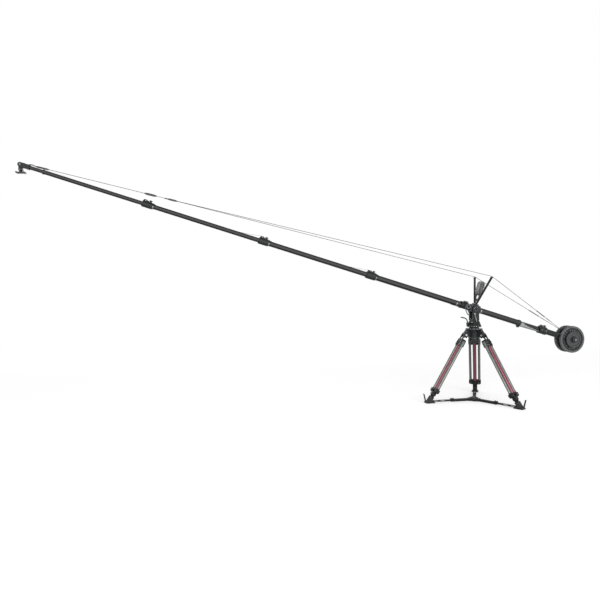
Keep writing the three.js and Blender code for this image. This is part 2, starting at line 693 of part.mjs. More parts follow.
function yoke() {
  const bottom = housingTop + GAP;
  const outside = YOKE_INSIDE + CHEEK_THICKNESS;
  const baseTop = bottom + YOKE_BASE_HEIGHT;
  const base = box(-YOKE_HALF_LENGTH, YOKE_HALF_LENGTH, -outside, outside, bottom, baseTop);
  const cheek = new THREE.Shape();
  cheek.moveTo(bottom + PAST, -YOKE_HALF_LENGTH);
  cheek.lineTo(bottom + YOKE_BASE_HEIGHT, -YOKE_HALF_LENGTH);
  cheek.lineTo(pivotHeight - YOKE_WAIST_BELOW, -YOKE_WAIST);
  cheek.lineTo(pivotHeight, -YOKE_HEAD_RADIUS);
  cheek.absarc(pivotHeight, 0, YOKE_HEAD_RADIUS, -Math.PI / 2, Math.PI / 2);
  cheek.lineTo(pivotHeight - YOKE_WAIST_BELOW, YOKE_WAIST);
  cheek.lineTo(bottom + YOKE_BASE_HEIGHT, YOKE_HALF_LENGTH);
  cheek.lineTo(bottom + PAST, YOKE_HALF_LENGTH);
  const body = join(base, slab('y', cheek, YOKE_INSIDE, outside), slab('y', cheek, -outside, -YOKE_INSIDE));
  const bore = rod('y', TRUNNION_RADIUS + GAP, -outside - PAST, outside + PAST, LARGE_SIDES);
  return cut(body, bore.translate(0, 0, pivotHeight));
}

function tiltLever() {
  const face = -(YOKE_INSIDE + CHEEK_THICKNESS + GAP);
  const [hubX, hubDrop] = TILT_LEVER_HUB;
  const [endX, endDrop] = TILT_LEVER_END;
  const hubZ = pivotHeight + hubDrop;
  const endZ = pivotHeight + endDrop;
  const hub = rod('y', TILT_LEVER_HUB_RADIUS, face - TILT_LEVER_HUB_LENGTH, face).translate(hubX, 0, hubZ);
  const middle = face - TILT_LEVER_STANDOFF;
  const arm = rodBetween(new THREE.Vector3(hubX, middle, hubZ), new THREE.Vector3(endX, middle, endZ),
    TILT_LEVER_ROD_RADIUS);
  return join(hub, arm);
}

add(crane, 'pan_base', 'black_paint', panBase());
add(crane, 'bowl_nut', 'rubber', bowlNut());
add(crane, 'pan_housing', 'black_paint', panHousing());
add(crane, 'pan_lock_lever', 'rubber', panLever());
add(crane, 'yoke', 'black_paint', yoke());
add(crane, 'tilt_lock_lever', 'silver', tiltLever());

// Boom: built along X in a group that is tilted about the trunnions

const boom = new THREE.Group();
boom.position.set(0, 0, pivotHeight);
boom.rotation.y = BOOM_TILT;
crane.add(boom);

const bore = (flats) => flats + 2 * GAP;
// Where the rear tube and the first boom tube meet inside the fulcrum block.
const meeting = BORE_STEP_INSET - BLOCK_HALF_LENGTH;
const socketFlats = BOOM_FLATS[0] + 2 * SOCKET_WALL;

// The side outline of a clamp's lug: chamfered where it stands up.
function lugOutline(foot, top, start, end) {
  return [
    [foot, end], [top - LUG_CHAMFER, end], [top, end - LUG_CHAMFER], [top, start + LUG_CHAMFER],
    [top - LUG_CHAMFER, start], [foot, start],
  ];
}

function fulcrumBlock() {
  const half = YOKE_INSIDE - GAP;
  const outline = roundedOutline(BLOCK_HALF_HEIGHT, BLOCK_HALF_LENGTH, BLOCK_CORNER);
  const reach = YOKE_INSIDE + CHEEK_THICKNESS + TRUNNION_REACH;
  const [lugStart, lugEnd] = SOCKET_LUG;
  const lugTop = socketFlats / 2 + SOCKET_LUG_RISE;
  const body = join(
    slab('y', outline, -half, half),
    rod('y', TRUNNION_RADIUS, -reach, reach, LARGE_SIDES),
    octagonBar(socketFlats, SOCKET_END, -BLOCK_HALF_LENGTH + WELD),
    slab('y', lugOutline(socketFlats / 2 - WELD, lugTop, lugStart, lugEnd), -SOCKET_LUG_HALF_WIDTH,
      SOCKET_LUG_HALF_WIDTH),
  );
  return cut(
    body,
    octagonBar(bore(REAR_TUBE_FLATS), meeting, BLOCK_HALF_LENGTH + PAST),
    octagonBar(bore(BOOM_FLATS[0]), SOCKET_END - PAST, meeting + PAST),
  );
}

function boomKnob() {
  const face = -(socketFlats / 2 + GAP);
  const end = face - BOOM_KNOB_THICKNESS;
  const rim = BOOM_KNOB_RADIUS - BOOM_KNOB_CHAMFER;
  const [rimWidth, dishDepth] = BOOM_KNOB_DISH;
  return turned('y', [
    [BOOM_KNOB_EYE, face], [rim, face], [BOOM_KNOB_RADIUS, face - BOOM_KNOB_CHAMFER],
    [BOOM_KNOB_RADIUS, end + BOOM_KNOB_CHAMFER], [rim, end], [BOOM_KNOB_RADIUS - rimWidth, end],
    [BOOM_KNOB_EYE + BOOM_KNOB_CHAMFER, end + dishDepth], [BOOM_KNOB_EYE, end + dishDepth],
  ], MIDDLE_SIDES).translate(BOOM_KNOB_AT, 0, 0);
}

function rearTube() {
  const tube = octagonTube(REAR_TUBE_FLATS, TUBE_WALL, meeting + GAP, REAR_TUBE_END);
  const ringStart = REAR_TUBE_END - REAR_RING_LENGTH;
  const end = octagonBar(REAR_TUBE_FLATS + 2 * REAR_RING_WALL, ringStart, REAR_TUBE_END);
  const hole = octagonBar(bore(SLIDE_TUBE_FLATS), ringStart - PAST, REAR_TUBE_END + PAST);
  return join(tube, cut(end, hole));
}

const collarAt = (i) => FIRST_COLLAR - i * SECTION_PITCH;
const boomEnd = collarAt(2) - LAST_TUBE_REACH;
const noseTubeEnd = boomEnd - NOSE_REACH;
const forkEnd = noseTubeEnd + FORK_OVERLAP;
const headPivot = noseTubeEnd - HEAD_REACH;
const collarKnobAt = (COLLAR_BOSS[0] + COLLAR_BOSS[1]) / 2;

function boomTube(i) {
  const rear = i === 0 ? meeting - GAP : collarAt(i - 1) + TUBE_OVERLAP;
  const front = i === 3 ? boomEnd : collarAt(i) - COLLAR_LIP + GAP;
  return octagonTube(BOOM_FLATS[i], TUBE_WALL, front, rear);
}

// A clamp knob standing on a flat boss, at a place along the boom.
function clampKnob(at, base) {
  return turned('z', knobProfile(COLLAR_KNOB_RADIUS, base + GAP, base + COLLAR_KNOB_HEIGHT), SMALL_SIDES)
    .translate(at, 0, 0);
}

// The collar sits on the front end of the larger tube and clamps the smaller one that slides in it.
function collar(i) {
  const centre = collarAt(i);
  const half = COLLAR_LENGTH / 2;
  const outer = BOOM_FLATS[i] + 2 * COLLAR_WALL;
  const top = outer / 2;
  const [lugStart, lugEnd] = COLLAR_LUG;
  const [bossStart, bossEnd] = COLLAR_BOSS;
  const body = join(
    octagonBar(outer, centre - half, centre + half),
    slab('y', lugOutline(top - WELD, top + COLLAR_LUG_RISE, centre + lugStart, centre + lugEnd),
      -COLLAR_LUG_HALF_WIDTH, COLLAR_LUG_HALF_WIDTH),
    box(centre + bossStart, centre + bossEnd, -COLLAR_LUG_HALF_WIDTH, COLLAR_LUG_HALF_WIDTH, top - WELD,
      top + BOSS_RISE),
  );
  return cut(
    body,
    octagonBar(bore(BOOM_FLATS[i]), centre - COLLAR_LIP, centre + half + PAST),
    octagonBar(bore(BOOM_FLATS[i + 1]), centre - half - PAST, centre),
  );
}

function noseTube() {
  const flangeEnd = boomEnd - GAP;
  const tube = octagonTube(NOSE_FLATS, TUBE_WALL, noseTubeEnd, boomEnd + NOSE_INSERT);
  const flangeWall = (NOSE_FLANGE_FLATS - NOSE_FLATS) / 2 + TUBE_WALL / 2;
  const flange = octagonTube(NOSE_FLANGE_FLATS, flangeWall, flangeEnd - NOSE_FLANGE_LENGTH, flangeEnd);
  return join(tube, flange);
}

function noseFork() {
  const slotStart = headPivot + FORK_SLOT_DEPTH;
  const outline = new THREE.Shape();
  outline.moveTo(-FORK_HALF_HEIGHT, forkEnd);
  outline.lineTo(-FORK_HALF_HEIGHT, headPivot);
  outline.absarc(0, headPivot, FORK_HALF_HEIGHT, Math.PI, 0);
  outline.lineTo(FORK_HALF_HEIGHT, forkEnd);
  const lugTop = FORK_HALF_HEIGHT + STAY_LUG_RISE;
  const lug = box(forkEnd - STAY_LUG_LENGTH, forkEnd, -STAY_LUG_HALF_WIDTH, STAY_LUG_HALF_WIDTH,
    FORK_HALF_HEIGHT - WELD, lugTop);
  const body = join(slab('y', outline, -FORK_HALF_WIDTH, FORK_HALF_WIDTH), lug);
  const front = headPivot - FORK_HALF_HEIGHT - PAST;
  const slot = box(front, slotStart, -FORK_SLOT_HALF - GAP, FORK_SLOT_HALF + GAP, -FORK_HALF_HEIGHT - PAST,
    FORK_HALF_HEIGHT + PAST);
  const socket = octagonBar(bore(NOSE_FLATS), noseTubeEnd - GAP, forkEnd + PAST);
  const pinEnd = FORK_HALF_WIDTH + FORK_PIN_REACH;
  const pin = rod('y', FORK_PIN_RADIUS, -pinEnd, pinEnd, MIDDLE_SIDES);
  return join(cut(body, slot, socket), pin.translate(headPivot, 0, 0));
}

add(boom, 'fulcrum_block', 'black_paint', fulcrumBlock());
add(boom, 'boom_clamp_knob', 'silver', boomKnob());
add(boom, 'rear_tube', 'carbon', rearTube());
for (let i = 0; i < BOOM_FLATS.length; i += 1) {
  add(boom, `boom_tube_${i + 1}`, 'carbon', boomTube(i));
}
for (let i = 0; i < BOOM_FLATS.length - 1; i += 1) {
  const seat = BOOM_FLATS[i] / 2 + COLLAR_WALL + BOSS_RISE;
  add(boom, `collar_${i + 1}`, 'black_paint', collar(i));
  add(boom, `collar_${i + 1}_knob`, 'rubber', clampKnob(collarAt(i) + collarKnobAt, seat));
}
add(boom, 'nose_tube', 'carbon', noseTube());
add(boom, 'nose_fork', 'black_paint', noseFork());

// Level head: hangs plumb from the fork's pin whatever the boom's tilt

const head = new THREE.Group();
head.position.set(headPivot, 0, 0);
head.rotation.y = -BOOM_TILT;
boom.add(head);

function levelHead() {
  const tongueBottom = HEAD_BLOCK_TOP - WELD;
  const outline = new THREE.Shape();
  outline.moveTo(tongueBottom, -HEAD_BLOCK_HALF_LENGTH);
  outline.lineTo(0, -HEAD_TONGUE_RADIUS);
  outline.absarc(0, 0, HEAD_TONGUE_RADIUS, -Math.PI / 2, Math.PI / 2);
  outline.lineTo(tongueBottom, HEAD_BLOCK_HALF_LENGTH);
  const tongue = slab('y', outline, -FORK_SLOT_HALF, FORK_SLOT_HALF);
  const block = slab('z', roundedOutline(HEAD_BLOCK_HALF_LENGTH, FORK_HALF_WIDTH, HEAD_BLOCK_CORNER),
    HEAD_BLOCK_BOTTOM, HEAD_BLOCK_TOP);
  const neck = rod('z', HEAD_NECK_RADIUS, HEAD_NECK_BOTTOM, HEAD_BLOCK_BOTTOM + WELD);
  const hole = rod('y', FORK_PIN_RADIUS + GAP, -FORK_SLOT_HALF - PAST, FORK_SLOT_HALF + PAST, MIDDLE_SIDES);
  return cut(join(tongue, block, neck), hole);
}

function cameraPlate() {
  const top = HEAD_NECK_BOTTOM - GAP;
  const plateTop = top - PLATE_BOSS_HEIGHT;
  const plate = slab('z', roundedOutline(PLATE_LENGTH / 2, PLATE_WIDTH / 2, PLATE_CORNER),
    plateTop - PLATE_THICKNESS, plateTop);
  return join(plate, rod('z', PLATE_BOSS_RADIUS, plateTop - WELD, top));
}

add(head, 'level_head', 'black_paint', levelHead());
add(head, 'camera_plate', 'black_paint', cameraPlate());

// Counterweight end

const rearKnobAt = REAR_CLAMP_END - REAR_CLAMP_KNOB_INSET;

function rearClamp() {
  const top = REAR_CLAMP_FLATS / 2;
  const [lugStart, lugEnd] = REAR_CLAMP_LUG;
  const bossHalf = COLLAR_KNOB_RADIUS + KNOB_CHAMFER;
  const body = join(
    octagonBar(REAR_CLAMP_FLATS, REAR_CLAMP_START, REAR_CLAMP_END),
    slab('y', lugOutline(top - WELD, top + REAR_CLAMP_LUG_RISE, REAR_CLAMP_START + lugStart,
      REAR_CLAMP_START + lugEnd), -COLLAR_LUG_HALF_WIDTH, COLLAR_LUG_HALF_WIDTH),
    box(rearKnobAt - bossHalf, rearKnobAt + bossHalf, -COLLAR_LUG_HALF_WIDTH, COLLAR_LUG_HALF_WIDTH,
      top - WELD, top + BOSS_RISE),
  );
  return cut(
    body,
    octagonBar(bore(SLIDE_TUBE_FLATS), REAR_CLAMP_START - PAST, REAR_CLAMP_SEAT + PAST),
    octagonBar(bore(WEIGHT_TUBE_FLATS), REAR_CLAMP_SEAT, REAR_CLAMP_END + PAST),
  );
}

function weightTube() {
  const tube = octagonTube(WEIGHT_TUBE_FLATS, WEIGHT_TUBE_WALL, REAR_CLAMP_SEAT + GAP, WEIGHT_TUBE_END);
  const capStart = WEIGHT_TUBE_END - WEIGHT_TUBE_CAP;
  const cap = octagonBar(WEIGHT_TUBE_FLATS, capStart, WEIGHT_TUBE_END);
  const postFoot = WEIGHT_TUBE_FLATS / 2 - WEIGHT_TUBE_WALL / 2;
  const post = slab('y', [
    [postFoot, ANCHOR_AT + ANCHOR_HALF_LENGTH], [ANCHOR_HEIGHT, ANCHOR_AT + ANCHOR_HALF_LENGTH],
    [ANCHOR_HEIGHT, ANCHOR_AT - ANCHOR_HALF_LENGTH], [postFoot, ANCHOR_AT - 2 * ANCHOR_HALF_LENGTH],
  ], -ANCHOR_HALF_WIDTH, ANCHOR_HALF_WIDTH);
  const reach = WEIGHT_TUBE_FLATS / 2 + PAST;
  const hole = rod('y', WEIGHT_BAR_RADIUS + GAP, -reach, reach, LARGE_SIDES).translate(WEIGHT_BAR_AT, 0, 0);
  const vent = rod('x', CAP_VENT_RADIUS, capStart - PAST, WEIGHT_TUBE_END + PAST);
  return cut(join(tube, cap, post), hole, vent.translate(0, 0, -CAP_VENT_BELOW));
}

const plateBore = WEIGHT_BAR_RADIUS + GAP;
const largePlateStart = WEIGHT_TUBE_FLATS / 2 + GAP;
const smallPlateStart = largePlateStart + LARGE_PLATE_THICKNESS + GAP;
const weightKnobStart = smallPlateStart + SMALL_PLATE_THICKNESS + GAP;

// A disc on the weight bar. Its profile is given for the far side, and side is 1 there and -1 near.
function onWeightBar(side, profile) {
  return turned('y', profile.map(([radius, y]) => [radius, side * y]), LARGE_SIDES)
    .translate(WEIGHT_BAR_AT, 0, 0);
}

function largePlate(side) {
  const near = largePlateStart;
  const far = near + LARGE_PLATE_THICKNESS;
  const rim = LARGE_PLATE_RADIUS - LARGE_PLATE_RIM;
  const edge = LARGE_PLATE_RADIUS - PLATE_CHAMFER;
  const webStart = LARGE_PLATE_HUB + PLATE_CHAMFER;
  const webEnd = rim - PLATE_CHAMFER;
  return onWeightBar(side, [
    [plateBore, near], [LARGE_PLATE_HUB, near], [webStart, near + LARGE_PLATE_RECESS],
    [webEnd, near + LARGE_PLATE_RECESS], [rim, near], [edge, near],
    [LARGE_PLATE_RADIUS, near + PLATE_CHAMFER],
    [LARGE_PLATE_RADIUS, far - PLATE_CHAMFER], [edge, far], [rim, far], [webEnd, far - LARGE_PLATE_RECESS],
    [webStart, far - LARGE_PLATE_RECESS], [LARGE_PLATE_HUB, far], [plateBore, far],
  ]);
}

function smallPlate(side) {
  const near = smallPlateStart;
  const far = near + SMALL_PLATE_THICKNESS;
  const rim = SMALL_PLATE_RADIUS - SMALL_PLATE_RIM;
  const edge = SMALL_PLATE_RADIUS - SMALL_PLATE_CHAMFER;
  return onWeightBar(side, [
    [plateBore, near], [SMALL_PLATE_RADIUS, near], [SMALL_PLATE_RADIUS, far - SMALL_PLATE_CHAMFER],
    [edge, far], [rim, far], [rim - SMALL_PLATE_CHAMFER, far - SMALL_PLATE_RECESS],
    [SMALL_PLATE_HUB + SMALL_PLATE_CHAMFER, far - SMALL_PLATE_RECESS], [SMALL_PLATE_HUB, far],
    [plateBore, far],
  ]);
}

function weightKnob(side) {
  const near = weightKnobStart;
  const far = near + WEIGHT_KNOB_THICKNESS;
  const [chamferIn, chamferDepth] = WEIGHT_KNOB_CHAMFER;
  return onWeightBar(side, [
    [plateBore, near], [WEIGHT_KNOB_RADIUS, near], [WEIGHT_KNOB_RADIUS, far - chamferDepth],
    [WEIGHT_KNOB_RADIUS - chamferIn, far], [plateBore, far],
  ]);
}

add(boom, 'rear_slide_tube', 'carbon', octagonTube(SLIDE_TUBE_FLATS, TUBE_WALL, SLIDE_TUBE_START,
  REAR_CLAMP_SEAT - GAP));
add(boom, 'rear_clamp', 'black_paint', rearClamp());
add(boom, 'rear_clamp_knob', 'rubber', clampKnob(rearKnobAt, REAR_CLAMP_FLATS / 2 + BOSS_RISE));
add(boom, 'weight_tube', 'carbon', weightTube());
add(boom, 'weight_bar', 'silver', rod('y', WEIGHT_BAR_RADIUS, -WEIGHT_BAR_HALF_LENGTH,
  WEIGHT_BAR_HALF_LENGTH, LARGE_SIDES).translate(WEIGHT_BAR_AT, 0, 0));
for (const [name, side] of [['near', -1], ['far', 1]]) {
  add(boom, `large_plate_${name}`, 'plate_iron', largePlate(side));
  add(boom, `small_plate_${name}`, 'plate_iron', smallPlate(side));
  add(boom, `weight_knob_${name}`, 'rubber', weightKnob(side));
}

// Mast and stays

const capHeight = MAST_HEIGHT - STAY_RADIUS - MAST_CAP_RADIUS - SADDLE_GAP;
const braceLow = BRACE_TOP - BRACE_THICKNESS;
const mastFoot = BLOCK_HALF_HEIGHT + GAP;
const armFoot = mastFoot + MAST_BASE_HEIGHT - WELD;

function mastArm(side) {
  const foot = new THREE.Vector2(side * MAST_FOOT_SPREAD, armFoot);
  const tip = new THREE.Vector2(side * MAST_SPREAD, capHeight);
  const along = new THREE.Vector2().subVectors(tip, foot).normalize();
  const across = new THREE.Vector2(along.y, -along.x).multiplyScalar(MAST_ARM_WIDTH / 2);
  const outline = [
    foot.clone().sub(across), tip.clone().sub(across), tip.clone().add(across), foot.clone().add(across),
  ].map((point) => [point.x, point.y]).reverse();
  return slab('x', outline, -MAST_ARM_DEPTH / 2, MAST_ARM_DEPTH / 2);
}

function mastWidthAt(height) {
  const share = (height - armFoot) / (capHeight - armFoot);
  return MAST_FOOT_SPREAD + (MAST_SPREAD - MAST_FOOT_SPREAD) * share;
}

function mast() {
  const base = box(-MAST_BASE_HALF, MAST_BASE_HALF, -MAST_BASE_HALF, MAST_BASE_HALF, mastFoot,
    mastFoot + MAST_BASE_HEIGHT);
  const caps = [-1, 1].map((side) => rod(
    'y', MAST_CAP_RADIUS, side * MAST_SPREAD - MAST_CAP_HALF_WIDTH, side * MAST_SPREAD + MAST_CAP_HALF_WIDTH,
  ).translate(0, 0, capHeight));
  const reach = mastWidthAt(BRACE_TOP - BRACE_THICKNESS / 2);
  const brace = box(-BRACE_HALF_DEPTH, BRACE_HALF_DEPTH, -reach, reach, braceLow, BRACE_TOP);
  return join(base, mastArm(-1), mastArm(1), ...caps, brace);
}

// The front stay runs straight from the nose to the mast's head.
const stayStart = forkEnd + STAY_SETBACK;
const staySlope = (MAST_HEIGHT - STAY_START_HEIGHT) / -stayStart;

// A point of the front stay, by its distance along the boom from the stay's start.
function onStay(along) {
  return new THREE.Vector3(stayStart + along, 0, STAY_START_HEIGHT + along * staySlope);
}

function frontStay() {
  const hook = new THREE.Vector3(forkEnd + GAP, 0, STAY_START_HEIGHT);
  const pieces = [
    rodBetween(hook, onStay(TURNBUCKLE[0] + STAY_JOIN), STAY_RADIUS),
    rodBetween(onStay(TURNBUCKLE[0]), onStay(TURNBUCKLE[1]), TURNBUCKLE_RADIUS),
    rodBetween(onStay(TURNBUCKLE[1] - STAY_JOIN), onStay(CONNECTOR[0] + STAY_JOIN), STAY_RADIUS),
    rodBetween(onStay(CONNECTOR[0]), onStay(CONNECTOR[1]), CONNECTOR_RADIUS),
    rodBetween(onStay(CONNECTOR[1] - STAY_JOIN), onStay(STAY_YOKE[0] - GAP), STAY_RADIUS),
  ];
  return join(...pieces);
}

function stayYoke() {
  const [start, end] = STAY_YOKE;
  const neck = start + STAY_YOKE_NECK;
  return join(
    rodBetween(onStay(start), onStay(neck + STAY_JOIN), STAY_YOKE_RADIUS / 2),
    rodBetween(onStay(neck), onStay(end), STAY_YOKE_RADIUS),
  );
}

function twinStay(side) {
  const start = onStay(STAY_YOKE[1] + 2 * GAP);
  start.y = side * TWIN_STAY_SPACING;
  const tip = new THREE.Vector3(0, side * MAST_SPREAD, MAST_HEIGHT);
  const endY = side * (ANCHOR_HALF_WIDTH + STAY_RADIUS + 2 * GAP);
  const end = new THREE.Vector3(ANCHOR_AT, endY, ANCHOR_HEIGHT - STAY_HOOK_BELOW);
  const onRear = (share) => new THREE.Vector3().lerpVectors(tip, end, share);
  const saddle = new THREE.SphereGeometry(STAY_RADIUS, 8, 4).translate(tip.x, tip.y, tip.z);
  return join(
    rodBetween(start, tip, STAY_RADIUS),
    saddle,
    rodBetween(tip, end, STAY_RADIUS),
    rodBetween(onRear(REAR_SWAGE[0]), onRear(REAR_SWAGE[1]), SWAGE_RADIUS),
    rodBetween(onRear(REAR_SHACKLE[0]), onRear(REAR_SHACKLE[1]), SWAGE_RADIUS),
  );
}

add(boom, 'mast', 'black_paint', mast());
add(boom, 'front_stay', 'steel_wire', frontStay());
add(boom, 'stay_yoke', 'black_paint', stayYoke());
add(boom, 'stay_near', 'steel_wire', twinStay(-1));
add(boom, 'stay_far', 'steel_wire', twinStay(1));

// Hank of spare cable: one cable wound in upright loops that advance along the mast's spread

const hankHeight = BRACE_TOP + GAP + HANK_CABLE_RADIUS + HANK_HALF_HEIGHT;
const hankRun = HANK_HALF_HEIGHT - HANK_HALF_LENGTH;
const halfLoop = 2 * hankRun + Math.PI * HANK_HALF_LENGTH;

// A place on one loop, straight runs with round ends, by the length from the middle of a run.
function onLoop(length) {
  if (length >= halfLoop) return onLoop(length - halfLoop).map((value) => -value);
  if (length < hankRun) return [HANK_HALF_LENGTH, length];
  const angle = (length - hankRun) / HANK_HALF_LENGTH;
  if (angle > Math.PI) return [-HANK_HALF_LENGTH, halfLoop - length];
  return [HANK_HALF_LENGTH * Math.cos(angle), hankRun + HANK_HALF_LENGTH * Math.sin(angle)];
}

class HankWinding extends THREE.Curve {
  getPoint(t, target = new THREE.Vector3()) {
    const [x, up] = onLoop(HANK_TURNS * t % 1 * 2 * halfLoop);
    return target.set(x, HANK_PITCH * HANK_TURNS * (t - 0.5), hankHeight + up);
  }
}

function hank() {
  const section = new THREE.Shape(Array.from({ length: HANK_SIDES }, (_, i) => new THREE.Vector2(
    HANK_CABLE_RADIUS * Math.cos(2 * Math.PI * i / HANK_SIDES),
    HANK_CABLE_RADIUS * Math.sin(2 * Math.PI * i / HANK_SIDES))));
  return new THREE.ExtrudeGeometry(section, {
    steps: HANK_TURNS * HANK_STEPS_PER_TURN, extrudePath: new HankWinding(),
  });
}

// The least gap between neighbouring turns, measured on points along the winding.
function hankGap() {
  const path = new HankWinding();
  const count = HANK_TURNS * HANK_STEPS_PER_TURN;
  const points = path.getPoints(count);
  let least = Infinity;
  for (let i = 0; i <= count; i += 1) {
    for (let j = i + HANK_STEPS_PER_TURN / 2; j <= count; j += 1) {
      least = Math.min(least, points[i].distanceTo(points[j]));
    }
  }
  return least - 2 * HANK_CABLE_RADIUS;
}

console.log(`hank: least gap between turns ${hankGap().toFixed(2)} mm`);
add(boom, 'spare_cable_hank', 'cable', hank());

export default crane;
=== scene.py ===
# A camera jib crane dressed around its frame. Metres, +Z up: the floor is at zero, the pan axis
# stands at the origin, the boom's camera end points to -X and its counterweights to +X.

import math

import bmesh
import bpy
from mathutils import Matrix, Vector


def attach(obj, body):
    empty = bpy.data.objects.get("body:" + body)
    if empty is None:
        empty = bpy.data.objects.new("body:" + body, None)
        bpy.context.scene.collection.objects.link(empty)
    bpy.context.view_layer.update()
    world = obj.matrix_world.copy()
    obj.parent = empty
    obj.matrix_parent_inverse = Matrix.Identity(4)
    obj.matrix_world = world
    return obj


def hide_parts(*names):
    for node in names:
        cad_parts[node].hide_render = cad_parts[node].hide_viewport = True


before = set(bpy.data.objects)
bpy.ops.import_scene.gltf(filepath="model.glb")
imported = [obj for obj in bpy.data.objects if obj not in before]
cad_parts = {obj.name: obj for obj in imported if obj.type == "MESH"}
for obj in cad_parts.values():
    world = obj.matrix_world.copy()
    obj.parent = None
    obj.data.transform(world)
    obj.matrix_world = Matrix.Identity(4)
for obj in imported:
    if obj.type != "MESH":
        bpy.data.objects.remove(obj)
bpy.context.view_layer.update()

# The camera: it stands low on the near side, level with the tripod's head, and looks slightly
# towards the counterweights, so that the boom climbs away to the upper left.
lens = bpy.data.cameras.new("camera")
lens.lens = 31.3
lens.sensor_width = 36
camera = bpy.data.objects.new("camera", lens)
camera.location = (-3.17, -5.813, 1.408)
camera.rotation_euler = (math.radians(88.42), math.radians(0.45), math.radians(-10.16))
scene = bpy.context.scene
scene.collection.objects.link(camera)
scene.camera = camera
scene.view_settings.view_transform = "Standard"

# Spare stay cable: a grey plastic-covered cable wound by hand into an upright hank of six loops,
# which stands on the mast's brace between its two arms. It rides on the boom.
pivot = 1.113
boom_tilt = 17.2
boom_frame = Matrix.Translation((0, 0, pivot)) @ Matrix.Rotation(math.radians(boom_tilt), 4, "Y")
cable_radius = 0.0048
hank_turns = 6
hank_pitch = 0.011
hank_round = 0.03
hank_run = 0.042
hank_middle = 0.2671
half_loop = 2 * hank_run + math.pi * hank_round
steps_per_turn = 48


def on_loop(length):
    """A place on one loop of the hank, by the length of cable from the middle of its front run."""
    if length >= half_loop:
        across, up = on_loop(length - half_loop)
        return -across, -up
    if length < hank_run:
        return hank_round, length
    angle = (length - hank_run) / hank_round
    if angle > math.pi:
        return -hank_round, half_loop - length
    return hank_round * math.cos(angle), hank_run + hank_round * math.sin(angle)


def surface(name, dark, light, rough, metallic=0.0, grain=60.0, stretch=(1, 1, 1),
            bump=0.0, relief=700.0, coat=0.0, specular=0.5):
    """A finish that varies between two tones, with its own roughness and a fine relief."""
    made = bpy.data.materials.new(name)
    made.use_nodes = True
    nodes, links = made.node_tree.nodes, made.node_tree.links
    shader = nodes["Principled BSDF"]
    shader.inputs["Metallic"].default_value = metallic
    shader.inputs["Coat Weight"].default_value = coat
    shader.inputs["Specular IOR Level"].default_value = specular
    place = nodes.new("ShaderNodeTexCoord")
    spread = nodes.new("ShaderNodeMapping")
    spread.inputs["Scale"].default_value = stretch
    links.new(place.outputs["Object"], spread.inputs["Vector"])
    mottle = nodes.new("ShaderNodeTexNoise")
    mottle.inputs["Scale"].default_value = grain
    mottle.inputs["Detail"].default_value = 4
    links.new(spread.outputs["Vector"], mottle.inputs["Vector"])
    tones = nodes.new("ShaderNodeValToRGB")
    tones.color_ramp.elements[0].position = 0.35
    tones.color_ramp.elements[0].color = (*dark, 1)
    tones.color_ramp.elements[1].position = 0.65
    tones.color_ramp.elements[1].color = (*light, 1)
    links.new(mottle.outputs[0], tones.inputs["Fac"])
    links.new(tones.outputs["Color"], shader.inputs["Base Color"])
    gloss = nodes.new("ShaderNodeMapRange")
    gloss.inputs["To Min"].default_value = rough[0]
    gloss.inputs["To Max"].default_value = rough[1]
    links.new(mottle.outputs[0], gloss.inputs["Value"])
    links.new(gloss.outputs["Result"], shader.inputs["Roughness"])
    if bump:
        texture = nodes.new("ShaderNodeTexNoise")
        texture.inputs["Scale"].default_value = relief
        links.new(spread.outputs["Vector"], texture.inputs["Vector"])
        height = nodes.new("ShaderNodeBump")
        height.inputs["Strength"].default_value = 0.5
        height.inputs["Distance"].default_value = bump
        links.new(texture.outputs[0], height.inputs["Height"])
        links.new(height.outputs["Normal"], shader.inputs["Normal"])
    return made


cable_points = []
for step in range(hank_turns * steps_per_turn + 1):
    turn = step / steps_per_turn
    across, up = on_loop(turn % 1 * 2 * half_loop)
    y = hank_pitch * (turn - hank_turns / 2)
    cable_points.append(boom_frame @ Vector((across, y, hank_middle + up)))
cable_line = bpy.data.curves.new("spare_stay_cable", "CURVE")
cable_line.dimensions = "3D"
cable_line.bevel_depth = cable_radius
cable_line.bevel_resolution = 4
cable_line.use_fill_caps = True
winding = cable_line.splines.new("POLY")
winding.points.add(len(cable_points) - 1)
for spot, point in zip(winding.points, cable_points):
    spot.co = (*point, 1)
spare_cable = bpy.data.objects.new("spare_stay_cable", cable_line)
scene.collection.objects.link(spare_cable)
cable_line.materials.append(surface("grey_cable_cover", (0.1, 0.1, 0.1), (0.34, 0.345, 0.35), (0.4, 0.6),
                                    grain=70, bump=0.0002))
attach(spare_cable, "boom")
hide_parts("spare_cable_hank")

# The studio: a pale floor that clips to white where nothing shades it, a white surround and a
# long softbox on each side of the boom.
seen_white = 1.0
room_light = 0.36
floor_tone = 0.8
floor_glow = 0.5


def white_where_seen(nodes, links):
    """One where a ray comes from the camera, a reflection or through glass, and nought elsewhere."""
    path = nodes.new("ShaderNodeLightPath")
    first = nodes.new("ShaderNodeMath")
    first.operation = "MAXIMUM"
    links.new(path.outputs["Is Camera Ray"], first.inputs[0])
    links.new(path.outputs["Is Glossy Ray"], first.inputs[1])
    both = nodes.new("ShaderNodeMath")
    both.operation = "MAXIMUM"
    links.new(first.outputs[0], both.inputs[0])
    links.new(path.outputs["Is Transmission Ray"], both.inputs[1])
    return both.outputs[0]


surround = bpy.data.worlds.new("studio")
scene.world = surround
surround.use_nodes = True
world_nodes, world_links = surround.node_tree.nodes, surround.node_tree.links
seen = white_where_seen(world_nodes, world_links)
level = world_nodes.new("ShaderNodeMapRange")
level.inputs["To Min"].default_value = room_light
level.inputs["To Max"].default_value = seen_white
world_links.new(seen, level.inputs["Value"])
world_links.new(level.outputs["Result"], world_nodes["Background"].inputs["Strength"])
world_nodes["Background"].inputs["Color"].default_value = (1, 1, 1, 1)

